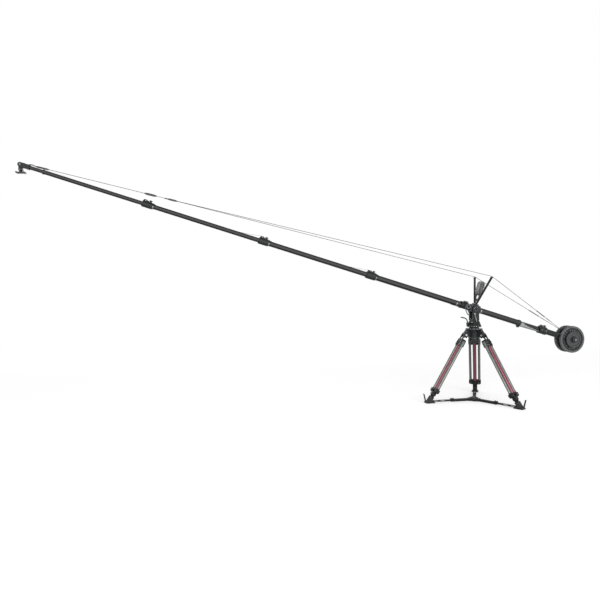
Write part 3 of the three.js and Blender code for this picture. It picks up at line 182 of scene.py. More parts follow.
floor_finish = bpy.data.materials.new("studio_floor")
floor_finish.use_nodes = True
floor_nodes, floor_links = floor_finish.node_tree.nodes, floor_finish.node_tree.links
floor_nodes.remove(floor_nodes["Principled BSDF"])
matt = floor_nodes.new("ShaderNodeBsdfDiffuse")
matt.inputs["Color"].default_value = (floor_tone, floor_tone, floor_tone, 1)
glow = floor_nodes.new("ShaderNodeEmission")
lit = floor_nodes.new("ShaderNodeMath")
lit.operation = "MULTIPLY"
lit.inputs[1].default_value = floor_glow
floor_links.new(white_where_seen(floor_nodes, floor_links), lit.inputs[0])
floor_links.new(lit.outputs[0], glow.inputs["Strength"])
together = floor_nodes.new("ShaderNodeAddShader")
floor_links.new(matt.outputs[0], together.inputs[0])
floor_links.new(glow.outputs[0], together.inputs[1])
floor_links.new(together.outputs[0], floor_nodes["Material Output"].inputs["Surface"])
floor_mesh = bpy.data.meshes.new("studio_floor")
floor_reach = 8.0
floor_edge = [math.radians(5 * i) for i in range(72)]
floor_mesh.from_pydata([(1.25 * floor_reach * math.cos(a) - 1.5, floor_reach * math.sin(a), 0)
                        for a in floor_edge], [], [tuple(range(72))])
floor_mesh.materials.append(floor_finish)
floor = bpy.data.objects.new("studio_floor", floor_mesh)
scene.collection.objects.link(floor)


def softbox(name, place, target, size, radiance):
    """A flat lamp that lights the crane and shows in its reflections, but not to the camera."""
    lamp = bpy.data.lights.new(name, "AREA")
    lamp.shape = "RECTANGLE"
    lamp.size, lamp.size_y = size
    lamp.energy = radiance * math.pi * size[0] * size[1]
    box = bpy.data.objects.new(name, lamp)
    box.location = place
    box.rotation_euler = (Vector(target) - Vector(place)).to_track_quat("-Z", "Y").to_euler()
    box.visible_camera = False
    scene.collection.objects.link(box)


softbox("near_softbox", (-1.0, -9.0, 2.7), (-1.0, 0, 1.6), (22, 5.2), 3.9)
softbox("far_softbox", (-1.5, 9.0, 3.0), (-1.5, 0, 1.4), (20, 4.5), 1.2)

# Crown: the tripod's cast head, turned and bored for the levelling bowl, with three hinge lugs
# and three webs. Its eased edges are lighter: worn to bare metal, and partly a painted highlight.
hinge_radius = 0.118
hinge_height = 0.8
leg_azimuths = (180, -60, 60)
crown_top = 0.876
powder_coat = surface("black_powder_coat", (0.006, 0.0066, 0.0072), (0.013, 0.0138, 0.015), (0.36, 0.5),
                      grain=45, bump=0.0003, relief=900, specular=0.2)
# The lighter edge finish: bare metal where the coat is worn, made lighter still as a painted highlight along
# the edges.
wear_and_highlight_metal = surface("casting_edge_wear_and_highlight", (0.05, 0.055, 0.052), (0.16, 0.17, 0.165), (0.3, 0.45),
                    metallic=0.6, grain=120)


def skin(bm, rings, closed=False):
    """A skin over rings of points, capped at both ends or closed on itself. One point is a tip."""
    rows = [[bm.verts.new(point) for point in ring] for ring in rings]
    after = rows[1:] + rows[:1] if closed else rows[1:]
    for low, high in zip(rows, after):
        count = max(len(low), len(high))
        for i in range(count):
            j = (i + 1) % count
            corners = [low[i % len(low)], low[j % len(low)], high[j % len(high)], high[i % len(high)]]
            bm.faces.new(list(dict.fromkeys(corners)))
    if not closed:
        for end in (rows[0], rows[-1]):
            if len(end) > 2:
                bm.faces.new(end)


def at(axis, a, b, along):
    """A point from its place along an axis and its two places across it, in the order x, y, z."""
    return Vector({"x": (along, a, b), "y": (a, along, b), "z": (a, b, along)}[axis])


def turned(bm, profile, axis="z", centre=(0, 0, 0), sides=48, shape=None, base=0.0, out=1):
    """A form turned from (radius, place) points, with places counted out from a base on the axis."""
    rings = []
    for radius, along in profile:
        ring = []
        for i in range(sides if radius else 1):
            angle = 2 * math.pi * i / sides
            reach = radius * (shape(angle) if shape else 1)
            ring.append(Vector(centre) + at(axis, reach * math.cos(angle), reach * math.sin(angle),
                                            base + out * along))
        rings.append(ring)
    skin(bm, rings, closed=profile[0][0] > 0)


def slab(bm, outline, axis, start, end):
    """A flat outline across an axis, given thickness along it."""
    skin(bm, [[at(axis, a, b, along) for a, b in outline] for along in (start, end)])


def rounded(corners, radius, steps=5):
    """An outline through these corners, each rounded to the radius or to its own third number."""
    outline = []
    for i, corner in enumerate(corners):
        here = Vector(corner[:2])
        size = corner[2] if len(corner) > 2 else radius
        before = (Vector(corners[i - 1][:2]) - here).normalized()
        after = (Vector(corners[(i + 1) % len(corners)][:2]) - here).normalized()
        if not size:
            outline.append(here)
            continue
        half = before.angle(after) / 2
        centre = here + (before + after).normalized() * (size / math.sin(half))
        start = here + before * (size / math.tan(half)) - centre
        side = 1 if before.cross(after) < 0 else -1
        for step in range(steps + 1):
            outline.append(centre + Matrix.Rotation(side * (math.pi - 2 * half) * step / steps, 2) @ start)
    return outline


def block(bm, x, y, z, corner=0.0, axis="z"):
    """A rectangular block between pairs of places, with its four corners along one axis rounded."""
    spans = {"x": (y, z, x), "y": (x, z, y), "z": (x, y, z)}[axis]
    a, b, along = spans
    slab(bm, rounded([(a[1], b[0]), (a[1], b[1]), (a[0], b[1]), (a[0], b[0])], corner), axis, *along)


def both_sides(bm, outline, axis, inner, outer):
    """A slab and its mirror image, at these distances from the middle."""
    for side in (-1, 1):
        slab(bm, outline, axis, side * inner, side * outer)


def moved(bm, matrix, build, *given, **named):
    """Builds a form into the mesh and moves that form alone."""
    before = len(bm.verts)
    build(bm, *given, **named)
    bm.verts.ensure_lookup_table()
    for vert in bm.verts[before:]:
        vert.co = matrix @ vert.co


def carved(bm, cutter):
    """The form, with its shells joined and the cutter's form taken out of it."""
    solids = []
    for form in (bm, cutter):
        bmesh.ops.recalc_face_normals(form, faces=form.faces)
        mesh = bpy.data.meshes.new("form")
        form.to_mesh(mesh)
        form.free()
        solids.append(bpy.data.objects.new("form", mesh))
        scene.collection.objects.link(solids[-1])
    cut = solids[0].modifiers.new("cut", "BOOLEAN")
    cut.object = solids[1]
    cut.use_self = True
    graph = bpy.context.evaluated_depsgraph_get()
    result = bmesh.new()
    result.from_mesh(bpy.data.meshes.new_from_object(solids[0].evaluated_get(graph)))
    for solid in solids:
        bpy.data.objects.remove(solid)
    return result


def meshed(bm, *finishes):
    """The form as a mesh with its faces pointing out and its finishes."""
    bmesh.ops.recalc_face_normals(bm, faces=bm.faces)
    mesh = bpy.data.meshes.new("form")
    bm.to_mesh(mesh)
    bm.free()
    mesh.shade_smooth()
    mesh.set_sharp_from_angle(angle=math.radians(40))
    for finish in finishes:
        mesh.materials.append(finish)
    return mesh


def fitted(name, mesh, place, body, stands_for=(), edge=0.0, settled=False):
    """Puts a mesh on the crane as a piece that rides on a body, with its outer edges eased."""
    piece = bpy.data.objects.new(name, mesh)
    scene.collection.objects.link(piece)
    if settled:
        mesh.transform(place)
    else:
        piece.matrix_world = place
    if edge:
        ease = piece.modifiers.new("eased_edges", "BEVEL")
        ease.width = edge
        ease.segments = 2
        ease.angle_limit = math.radians(40)
        # The eased edges take the last finish; on castings that is the worn edge finish with its painted
        # highlight.
        ease.material = len(mesh.materials) - 1
    weigh = piece.modifiers.new("flat_faces_flat", "WEIGHTED_NORMAL")
    weigh.keep_sharp = not edge
    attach(piece, body)
    if stands_for:
        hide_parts(*stands_for)


def cast(name, form, place, body, stands_for, edge, settled=False):
    """Puts on a form as a black casting whose eased edges are lighter: worn, and partly a painted highlight.
    """
    fitted(name, meshed(form, powder_coat, wear_and_highlight_metal), place, body, stands_for, edge,
           settled)


def about_z(degrees):
    """A turn about the upright axis."""
    return Matrix.Rotation(math.radians(degrees), 4, "Z")


upright = Matrix.Identity(4)
leg_turns = [about_z(azimuth) for azimuth in leg_azimuths]
lug_outline = rounded([(0.055, 0.779, 0), (hinge_radius + 0.021, 0.779, 0.0205),
                       (hinge_radius + 0.021, 0.814, 0.015), (0.099, 0.866, 0.002), (0.055, 0.866, 0)],
                      0.002, 8)
web_outline = rounded([(0.058, 0.742, 0), (0.072, 0.742), (0.095, 0.866), (0.058, 0.866, 0)], 0.004)
form = bmesh.new()
turned(form, [(0.022, 0.735), (0.06, 0.735), (0.064, 0.739), (0.064, 0.757), (0.061, 0.76), (0.061, 0.766),
              (0.064, 0.769), (0.064, 0.834), (0.07, 0.844), (0.097, 0.864), (0.1, 0.867), (0.1, 0.873),
              (0.097, crown_top), (0.058, crown_top), (0.0522, 0.8531), (0.036, 0.8323), (0.022, 0.824)])
for turn in leg_turns:
    moved(form, turn, slab, lug_outline, "y", -0.02, 0.02)
    moved(form, turn @ about_z(60), slab, web_outline, "y", -0.005, 0.005)
cast("crown", form, upright, "tripod", ["crown"], 0.0012)

# Hinge bolts, crown screws and the bowl's bright rim, in plated steel: hexagon bolts hold the legs
# between the crown's lugs, and six cap screws stand on its flange.
plated = surface("plated_steel", (0.2, 0.205, 0.21), (0.36, 0.365, 0.37), (0.26, 0.4),
                 metallic=1.0, grain=90)


def hexagon(angle):
    """The share of its corner radius that a hexagon reaches at an angle."""
    return math.cos(math.pi / 6) / math.cos(angle % (math.pi / 3) - math.pi / 6)


def cap_screw(bm, axis, a, b, face, radius, out=1):
    """A round screw head with a socket in it, seated on a face with its head on the out side."""
    height = radius * 1.1
    profile = [(0, 0.4), (0.5, 0.4), (0.5, 1), (0.85, 1), (1, 0.85), (1, 0), (0, 0)]
    turned(bm, [(share * radius, face + out * height * up) for share, up in profile],
           axis, at(axis, a, b, 0), sides=18)


def screw_pair(bm, axis, a, b, face, radius):
    """A cap screw on each of two opposite faces."""
    for out in (-1, 1):
        cap_screw(bm, axis, a, b, out * face, radius, out)


def plated_parts(name, form, place, body):
    """Puts on screws and other plated parts."""
    fitted(name, meshed(form, plated), place, body)


form = bmesh.new()
for out in leg_turns:
    turn = out @ Matrix.Translation((hinge_radius, 0, hinge_height))
    for side in (-1, 1):
        moved(form, turn, turned, [(0, 0.0343), (0.0125, 0.0343), (0.0125, 0.0385), (0.0115, 0.0393),
                                   (0, 0.0393)], "y", sides=24, shape=hexagon, out=side)
for i in range(6):
    angle = math.radians(30 + 60 * i)
    cap_screw(form, "z", 0.082 * math.cos(angle), 0.082 * math.sin(angle), crown_top, 0.0048)
turned(form, [(0.066, 0.875), (0.072, 0.875), (0.072, 0.8772), (0.066, 0.8772)])
plated_parts("crown_bolts", form, upright, "tripod")

# Tripod legs: each has a cast shoulder with two grey cast sleeves for the grey anodised tubes, which
# run down to a cast bracket that guides the red inner tube. A lobed knob there locks the inner tube.
foot_radius = 0.585
splay = math.atan2(foot_radius - hinge_radius, hinge_height)
bracket_end = math.hypot(foot_radius - hinge_radius, hinge_height) - 0.139
bracket_top = bracket_end - 0.048
tube_spacing = 0.054
tube_radius = 0.016
inner_radius = 0.023
half_width = tube_spacing + 0.02
grey_anodised = surface("grey_anodised_tube", (0.085, 0.094, 0.088), (0.16, 0.172, 0.163), (0.22, 0.34),
                        metallic=0.9, grain=260, stretch=(1, 1, 0.04), specular=0.3)
red_anodised = surface("red_anodised_tube", (0.11, 0.014, 0.028), (0.19, 0.028, 0.05), (0.22, 0.36),
                       metallic=0.6, grain=260, stretch=(1, 1, 0.04), coat=0.6)
knob_plastic = surface("black_knob_plastic", (0.009, 0.009, 0.01), (0.02, 0.02, 0.022), (0.42, 0.6),
                       grain=150, bump=0.0002, specular=0.3)


def fluted(angle):
    """A grip's outline: eight shallow hollows round its edge."""
    return 0.955 + 0.045 * math.cos(8 * angle)


def knob(bm, axis, centre, face, top, radius):
    """A clamp knob on a narrow stem, with a fluted grip and a shallow dish in its top."""
    out = 1 if top > face else -1
    tall = abs(top - face)
    turned(bm, [(0, 0), (0.009, 0), (0.009, 0.007), (radius - 0.002, 0.007), (radius, 0.01),
                (radius, tall - 0.003), (radius - 0.003, tall), (radius * 0.6, tall),
                (radius * 0.5, tall - 0.0015), (0, tall - 0.0015)],
           axis, centre, shape=fluted, base=face, out=out)


def rod(bm, radius, start, end, axis="z", centre=(0, 0, 0), sides=48, shape=None):
    """A plain rod or bore about an axis."""
    turned(bm, [(0, start), (radius, start), (radius, end), (0, end)], axis, centre, sides, shape)


form = bmesh.new()
slab(form, rounded([(-0.058, -0.084), (-0.058, -0.15, 0.005), (0.058, -0.15, 0.005), (0.058, -0.084),
                    (half_width - 0.026, -0.062), (0.026 - half_width, -0.062)], 0.01), "x", -0.026, 0.026)
for side in (-1, 1):
    slab(form, rounded([(-0.025, 0.025), (-0.025, -0.075, 0), (0.025, -0.075, 0), (0.025, 0.025)],
                       0.0245, 8), "y", side * 0.0203, side * 0.0343)
    slab(form, rounded([(side * 0.028, -0.142), (side * 0.028, -0.076), (side * 0.054, -0.092),
                        (side * 0.054, -0.142)][::side], 0.006), "x", -0.028, 0.028)
turned(form, [(0, -0.155), (0.0265, -0.155), (0.028, -0.152), (0.028, -0.1), (0, -0.1)])
tool = bmesh.new()
rod(tool, inner_radius + 0.0005, -0.16, -0.115)
slab(tool, rounded([(-0.05, -0.03), (-0.05, -0.058), (0.012, -0.058), (0.012, -0.03)], 0.005),
     "y", -0.05, 0.05)
slab(tool, rounded([(-0.0185, -0.112), (0.0185, -0.112), (0.0185, -0.17), (-0.0185, -0.17)], 0.006),
     "x", -0.05, 0.05)
shoulder_mesh = meshed(carved(form, tool), powder_coat, wear_and_highlight_metal)

grey_casting = surface("grey_cast_sleeve", (0.06, 0.07, 0.063), (0.12, 0.135, 0.125), (0.38, 0.52),
                       metallic=0.5, grain=140, bump=0.0002)
form = bmesh.new()
for side in (-1, 1):
    turned(form, [(0, -0.0895), (0.0164, -0.0895), (0.0164, -0.157), (0.019, -0.157), (0.0202, -0.1545),
                  (0.0202, -0.092), (0.0175, -0.083), (0.01, -0.08), (0, -0.08)],
           centre=(0, side * tube_spacing, 0))
sleeves_mesh = meshed(form, grey_casting)

form = bmesh.new()
slab(form, rounded([(-half_width, -bracket_end + 0.014), (0.024 - half_width, -bracket_end, 0.004),
                    (half_width - 0.024, -bracket_end, 0.004), (half_width, -bracket_end + 0.014),
                    (half_width, -bracket_top), (-half_width, -bracket_top)], 0.006), "x", -0.025, 0.025)
turned(form, [(0, -bracket_end), (0.0265, -bracket_end), (0.027, -bracket_end + 0.002),
              (0.027, -bracket_top + 0.006), (0.026, -bracket_top + 0.008), (0, -bracket_top + 0.008)])
for side in (-1, 1):
    turned(form, [(0, -bracket_end + 0.01), (0.019, -bracket_end + 0.01), (0.019, -bracket_top + 0.01),
                  (0.0175, -bracket_top + 0.012), (0, -bracket_top + 0.012)],
           centre=(0, side * tube_spacing, 0))
block(form, (0.02, 0.027), (-0.014, 0.014), (-bracket_end + 0.008, -bracket_top - 0.006), 0.004, "x")
tool = bmesh.new()
rod(tool, inner_radius + 0.0005, -bracket_end - 0.01, -bracket_top + 0.02)
bracket_mesh = meshed(carved(form, tool), powder_coat, wear_and_highlight_metal)

form = bmesh.new()
for side in (-1, 1):
    turned(form, [(tube_radius - 0.002, -bracket_top - 0.004), (tube_radius, -bracket_top - 0.004),
                  (tube_radius, -0.0903), (tube_radius - 0.002, -0.0903)],
           centre=(0, side * tube_spacing, 0))
outer_mesh = meshed(form, grey_anodised)

form = bmesh.new()
inner_end = bracket_end + 0.001 + 0.022
turned(form, [(0.0205, -inner_end), (inner_radius, -inner_end), (inner_radius, -0.122), (0.0222, -0.12),
              (0.0205, -0.12)], sides=64)
inner_mesh = meshed(form, red_anodised)

form = bmesh.new()
knob_middle = -(bracket_top + bracket_end) / 2
knob(form, "x", (0, 0, knob_middle), 0.0273, 0.0513, 0.017)
lock_knob_mesh = meshed(form, knob_plastic)

form = bmesh.new()
cap_screw(form, "x", 0, knob_middle, 0.0498, 0.005)
knob_screw_mesh = meshed(form, plated)

form = bmesh.new()
for side in (-1, 1):
    for height in (-0.104, -0.132):
        screw_pair(form, "x", side * 0.048, height, 0.028, 0.005)
    screw_pair(form, "x", side * 0.048, knob_middle, 0.025, 0.0045)
leg_screws_mesh = meshed(form, plated)

leg_frames = []
for k, out in enumerate(leg_turns, 1):
    leg = out @ Matrix.Translation((hinge_radius, 0, hinge_height)) @ Matrix.Rotation(-splay, 4, "Y")
    leg_frames.append((k, out, leg))
    fitted(f"leg_{k}_shoulder", shoulder_mesh, leg, "tripod", [f"leg_{k}_casting"], 0.0012)
    fitted(f"leg_{k}_tube_sleeves", sleeves_mesh, leg, "tripod")
    fitted(f"leg_{k}_bracket", bracket_mesh, leg, "tripod", [f"leg_{k}_outer_tubes"],
           0.0012)
    fitted(f"leg_{k}_tubes", outer_mesh, leg, "tripod", [f"leg_{k}_outer_tubes"])
    fitted(f"leg_{k}_screws", leg_screws_mesh, leg, "tripod")
    fitted(f"leg_{k}_red_tube", inner_mesh, leg, f"leg_{k}_lower", [f"leg_{k}_inner_tube"])
    fitted(f"leg_{k}_knob", lock_knob_mesh, leg, f"leg_{k}_lock_knob",
           [f"leg_{k}_lock_knob"])
    fitted(f"leg_{k}_knob_screw", knob_screw_mesh, leg, f"leg_{k}_lock_knob")

# Feet: a cast ankle clamped on the inner tube, tapering to a moulded rubber wedge with a ribbed
# sole that stands flat on the floor.
foot_top = bracket_end + 0.001
foot_rubber = surface("black_foot_rubber", (0.013, 0.013, 0.013), (0.028, 0.028, 0.028), (0.7, 0.9),
                      grain=80, bump=0.0004, relief=500)


def down_leg(across, down):
    """A point of the leg's own frame as (radius, height) in the leg's upright plane."""
    return (hinge_radius + across * math.cos(splay) + down * math.sin(splay),
            hinge_height + across * math.sin(splay) - down * math.cos(splay))


form = bmesh.new()
slab(form, rounded([(-0.028, -0.028), (0.028, -0.028), (0.028, 0.028), (-0.028, 0.028)], 0.012),
     "z", -foot_top - 0.034, -foot_top)
turned(form, [(0, -0.058), (0.022, -0.058), (0.0255, -0.03), (0, -0.03)], base=-foot_top)
for side in (-1, 1):
    block(form, (-0.01, 0.01), sorted((side * 0.022, side * 0.0275)), (-foot_top - 0.066, -foot_top - 0.03),
          0.003)
tool = bmesh.new()
rod(tool, inner_radius + 0.0003, -foot_top - 0.0225, -foot_top + 0.01)
ankle_mesh = meshed(carved(form, tool), powder_coat, wear_and_highlight_metal)

form = bmesh.new()
ankle_in = down_leg(-0.0235, foot_top + 0.052)
ankle_out = down_leg(0.0235, foot_top + 0.052)
slab(form, rounded([(*ankle_in, 0.003), (foot_radius - 0.026, 0.014, 0.004),
                    (foot_radius - 0.027, 0, 0.0015), (foot_radius + 0.027, 0, 0.0015),
                    (foot_radius + 0.026, 0.014, 0.004), (*ankle_out, 0.003)], 0.002), "y", -0.0275, 0.0275)
tool = bmesh.new()
for i in range(-2, 3):
    middle = foot_radius + 0.0095 * i
    block(tool, (middle - 0.0015, middle + 0.0015), (-0.04, 0.04), (-0.001, 0.0022))
foot_mesh = meshed(carved(form, tool), foot_rubber)
for k, out, leg in leg_frames:
    fitted(f"leg_{k}_ankle", ankle_mesh, leg, f"leg_{k}_lower", [f"leg_{k}_foot"], 0.001)
    fitted(f"leg_{k}_rubber_foot", foot_mesh, out, f"leg_{k}_lower", [f"leg_{k}_foot"],
           0.0015)

# Ground spreader: a cast hub on the floor with three channels, in which flat arms slide out to
# stirrups round the feet. A clamp at each channel's mouth holds its arm.
channel_end = foot_radius - 0.285
channel_half = 0.0173
channel_low, channel_high = 0.0037, 0.0343
form = bmesh.new()
turned(form, [(0, 0), (0.052, 0), (0.056, 0.004), (0.056, 0.03), (0.053, 0.033), (0.05, 0.04), (0.03, 0.04),
              (0.028, 0.037), (0, 0.037)])
for turn in leg_turns:
    moved(form, turn, block, (0.03, channel_end - 0.002), (-channel_half, channel_half),
          (channel_low, channel_high), 0.003, "x")
    moved(form, turn, block, (channel_end - 0.036, channel_end), (-0.0213, 0.0213), (0.0037, 0.0413),
          0.004, "x")
    moved(form, turn, block, (0.04, 0.075), (-0.026, 0.026), (0.003, 0.0365), 0.008)
tool = bmesh.new()
for turn in leg_turns:
    moved(tool, turn, block, (0.0597, channel_end + 0.01), (-0.0123, 0.0123), (0.0087, 0.0293))
cast("spreader_hub", carved(form, tool), upright, "spreader", ["spreader_hub"], 0.0008)

form = bmesh.new()
for turn in leg_turns:
    moved(form, turn, cap_screw, "z", channel_end - 0.018, 0, 0.0413, 0.007)
    for side in (-1, 1):
        moved(form, turn, cap_screw, "z", 0.066, side * 0.0205, 0.0365, 0.0035)
cap_screw(form, "z", 0, 0, 0.037, 0.009)
plated_parts("spreader_screws", form, upright, "spreader")

pad_start = foot_radius - 0.0273
pad_end = foot_radius + 0.0273
form = bmesh.new()
block(form, (0.06, pad_start - 0.028), (-0.012, 0.012), (0.009, 0.029), 0.0015, "x")
slab(form, rounded([(pad_start - 0.044, -0.0423, 0.012), (pad_end + 0.014, -0.0423),
                    (pad_end + 0.014, 0.0423), (pad_start - 0.044, 0.0423, 0.012)], 0.008),
     "z", 0.001, 0.011)
slab(form, rounded([(pad_start - 0.052, 0.009, 0), (pad_start - 0.006, 0.009, 0),
                    (pad_start - 0.028, 0.029)], 0.003), "y", -0.01, 0.01)
tool = bmesh.new()
block(tool, (pad_start, pad_end), (-0.0283, 0.0283), (-0.01, 0.05))
for start, end in ((0.372, 0.438), (0.462, 0.52)):
    block(tool, (start, end), (-0.02, 0.02), (0.015, 0.023), 0.0035, "y")
arm_mesh = meshed(carved(form, tool), powder_coat, wear_and_highlight_metal)

form = bmesh.new()
strap_start = pad_end + 0.004
slab(form, [(strap_start, 0.004), (strap_start + 0.009, 0.002), (strap_start + 0.0155, 0.04),
            (strap_start + 0.031, 0.1115), (strap_start + 0.0235, 0.112), (strap_start + 0.007, 0.05)],
     "y", -0.013, 0.013)
tool = bmesh.new()
rod(tool, 0.005, strap_start - 0.02, strap_start + 0.06, "x", (0, 0, 0.098), 24)
strap_mesh = meshed(carved(form, tool), foot_rubber)

form = bmesh.new()
for side in (-1, 1):
    cap_screw(form, "z", pad_end + 0.007, side * 0.03, 0.011, 0.004)
    cap_screw(form, "z", pad_start - 0.018, side * 0.03, 0.011, 0.004)
arm_screws_mesh = meshed(form, plated)
for k, out, leg in leg_frames:
    body = f"spreader_arm_{k}"
    fitted(f"{body}_bar", arm_mesh, out, body, [body], 0.0008)
    fitted(f"{body}_strap", strap_mesh, out, body, [body], 0.0015)
    fitted(f"{body}_screws", arm_screws_mesh, out, body)

# Levelling base and its nut: a turned half ball with a flange sits in the crown's bowl, and a
# fluted plastic nut on its stud pulls it down from below.
form = bmesh.new()
turned(form, [(0, 0.702), (0.008, 0.702), (0.009, 0.703), (0.009, 0.8248), (0.0212, 0.8248),
              (0.0352, 0.8331), (0.0514, 0.8539), (0.0572, 0.8763), (0.06, 0.8763), (0.062, 0.878),
              (0.062, 0.882), (0.0575, 0.8835), (0.056, 0.8855), (0.056, 0.8885), (0.0575, 0.89),
              (0.06, 0.8943), (0, 0.8943)])
cast("levelling_base", form, upright, "tripod", ["pan_base"], 0.0006)


def nut_flutes(angle):
    """The levelling nut's outline: twelve finger grooves."""
    return 0.96 + 0.04 * math.cos(12 * angle)


form = bmesh.new()
turned(form, [(0.0093, 0.696), (0.024, 0.696), (0.03, 0.699), (0.032, 0.703), (0.032, 0.722), (0.036, 0.727),
              (0.039, 0.7305), (0.039, 0.7347), (0.0093, 0.7347)], sides=96, shape=nut_flutes)
fitted("levelling_nut", meshed(form, knob_plastic), upright, "bowl_nut", ["bowl_nut"])

# Pan head: a turned housing that holds the pan bearing, with a ring of plated screws round its
# band, a clamp boss with the pan lever and a round spirit level on a small shelf.
boss_x = -0.085
form = bmesh.new()
turned(form, [(0, 0.8946), (0.08, 0.8946), (0.084, 0.8975), (0.084, 0.8985), (0.0815, 0.9), (0.0815, 0.9095),
              (0.0835, 0.911), (0.081, 0.917), (0.0705, 0.9345), (0.0655, 0.948), (0.06, 0.96),
              (0.055, 0.966), (0.055, 0.97), (0, 0.97)], sides=72)
turned(form, [(0, 0.905), (0.012, 0.905), (0.013, 0.906), (0.013, 0.935), (0.012, 0.936), (0, 0.936)],
       centre=(boss_x, 0, 0), sides=32)
block(form, (boss_x, -0.058), (-0.0125, 0.0125), (0.906, 0.935))
rib = rounded([(0.05, 0.912, 0), (0.0825, 0.912), (0.0625, 0.9655), (0.05, 0.9655, 0)], 0.003)
for i in range(8):
    if i not in (3, 4):
        moved(form, about_z(22.5 + 45 * i), slab, rib, "y", -0.004, 0.004)
block(form, (-0.066, -0.036), (-0.06, -0.034), (0.946, 0.952), 0.006)
cast("pan_housing", form, upright, "pan_head", ["pan_housing"], 0.0008)

form = bmesh.new()
for i in range(18):
    turn = about_z(20 * i + 1.4)
    moved(form, turn, cap_screw, "x", 0, 0.9048, 0.081, 0.0044)
cap_screw(form, "z", boss_x, 0, 0.9523, 0.0055)
plated_parts("pan_housing_screws", form, upright, "pan_head")

form = bmesh.new()
turned(form, [(0, 0.952), (0.0098, 0.952), (0.0098, 0.9615), (0.009, 0.9625), (0.0075, 0.9625),
              (0.007, 0.9618), (0, 0.9618)], centre=(-0.0535, -0.047, 0), sides=32)
level_finish = surface("level_fluid", (0.2, 0.24, 0.14), (0.34, 0.39, 0.22), (0.1, 0.2), grain=40)
fitted("spirit_level", meshed(form, level_finish, plated), upright, "pan_head", (), 0.0005)

lever_path = [(0, 0.0085), (-0.003, 0.03), (-0.016, 0.054), (-0.044, 0.069), (-0.088, 0.077)]


def through(points, steps=8):
    """A smooth line through points, as a chain of curved steps."""
    spots = [Vector(p) for p in points]
    spots = [2 * spots[0] - spots[1], *spots, 2 * spots[-1] - spots[-2]]
    line = []
    for a, b, c, d in zip(spots, spots[1:], spots[2:], spots[3:]):
        for step in range(steps):
            t = step / steps
            line.append(0.5 * (2 * b + (c - a) * t + (2 * a - 5 * b + 4 * c - d) * t ** 2
                               + (3 * b - a - 3 * c + d) * t ** 3))
    return [*line, spots[-2]]


def swept(bm, line, radius, sides=16):
    """A round rod along a line. The radius is one number, or one for each point of the line."""
    spots = [Vector(p) for p in line]
    last = len(spots) - 1
    rings = []
    angles = [2 * math.pi * j / sides for j in range(sides)]
    side = None
    for i, spot in enumerate(spots):
        ahead = (spots[min(i + 1, last)] - spots[max(i - 1, 0)]).normalized()
        side = side or ahead.orthogonal()
        side = (side - ahead * side.dot(ahead)).normalized()
        other = ahead.cross(side)
        reach = radius[i] if isinstance(radius, list) else radius
        rings.append([spot + (side * math.cos(angle) + other * math.sin(angle)) * reach for angle in angles])
    skin(bm, rings)


form = bmesh.new()
lever_foot = 0.9363
turned(form, [(0, 0), (0.0125, 0), (0.013, 0.001), (0.013, 0.012), (0.0105, 0.016), (0, 0.016)],
       centre=(boss_x, 0, 0), sides=32, base=lever_foot)
lever_line = through([(boss_x + x, 0, lever_foot + z) for x, z in lever_path])
count = len(lever_line) - 1
lever_reach = [0.0062 + 0.0022 * max(0.0, i / count - 0.35) for i in range(count + 1)]
lever_reach[-1] = 0.0035
lever_reach[-2] = 0.0055
swept(form, lever_line, lever_reach)
fitted("pan_lever", meshed(form, knob_plastic), upright, "pan_lock_lever",
       ["pan_lock_lever"])

# Yoke: two cast cheeks on a base plate, screwed to the pan head. The trunnions turn in bushed
# bosses at its top, and plated cap screws hold the bearing plates.
yoke_foot = 0.9703
inside, outside = 0.0365, 0.0485
form = bmesh.new()
block(form, (-0.042, 0.042), (-outside, outside), (yoke_foot, yoke_foot + 0.02), 0.008)
cheek = rounded([(-0.042, yoke_foot + 0.002, 0), (0.042, yoke_foot + 0.002, 0),
                 (0.042, yoke_foot + 0.02, 0.006), (0.04, pivot - 0.055, 0.03), (0.04, pivot + 0.04, 0.0395),
                 (-0.04, pivot + 0.04, 0.0395), (-0.04, pivot - 0.055, 0.03),
                 (-0.042, yoke_foot + 0.02, 0.006)], 0.006, 10)
both_sides(form, cheek, "y", inside, outside)
tool = bmesh.new()
rod(tool, 0.0153, -0.07, 0.07, "y", (0, 0, pivot), 64)
both_sides(tool, rounded([(-0.03, yoke_foot + 0.034), (0.03, yoke_foot + 0.034), (0.024, pivot - 0.04),
                          (-0.024, pivot - 0.04)], 0.007), "y", outside - 0.003, 0.07)
cast("yoke", carved(form, tool), upright, "pan_head", ["yoke"], 0.0012)

form = bmesh.new()
for side in (-1, 1):
    turned(form, [(0.0153, 0), (0.027, 0), (0.027, 0.0025), (0.026, 0.0035), (0.0153, 0.0035)],
           "y", (0, 0, pivot), base=side * outside, out=side)
cast("trunnion_bearing_plates", form, upright, "pan_head", (), 0.0006)

form = bmesh.new()
for i in range(6):
    angle = math.radians(60 * i)
    screw_pair(form, "y", 0.0212 * math.cos(angle), pivot + 0.0212 * math.sin(angle),
               outside + 0.0035, 0.0026)
for side in (-1, 1):
    for x in (-0.032, 0.032):
        cap_screw(form, "z", x, side * 0.026, yoke_foot + 0.02, 0.005)
plated_parts("yoke_screws", form, upright, "pan_head")

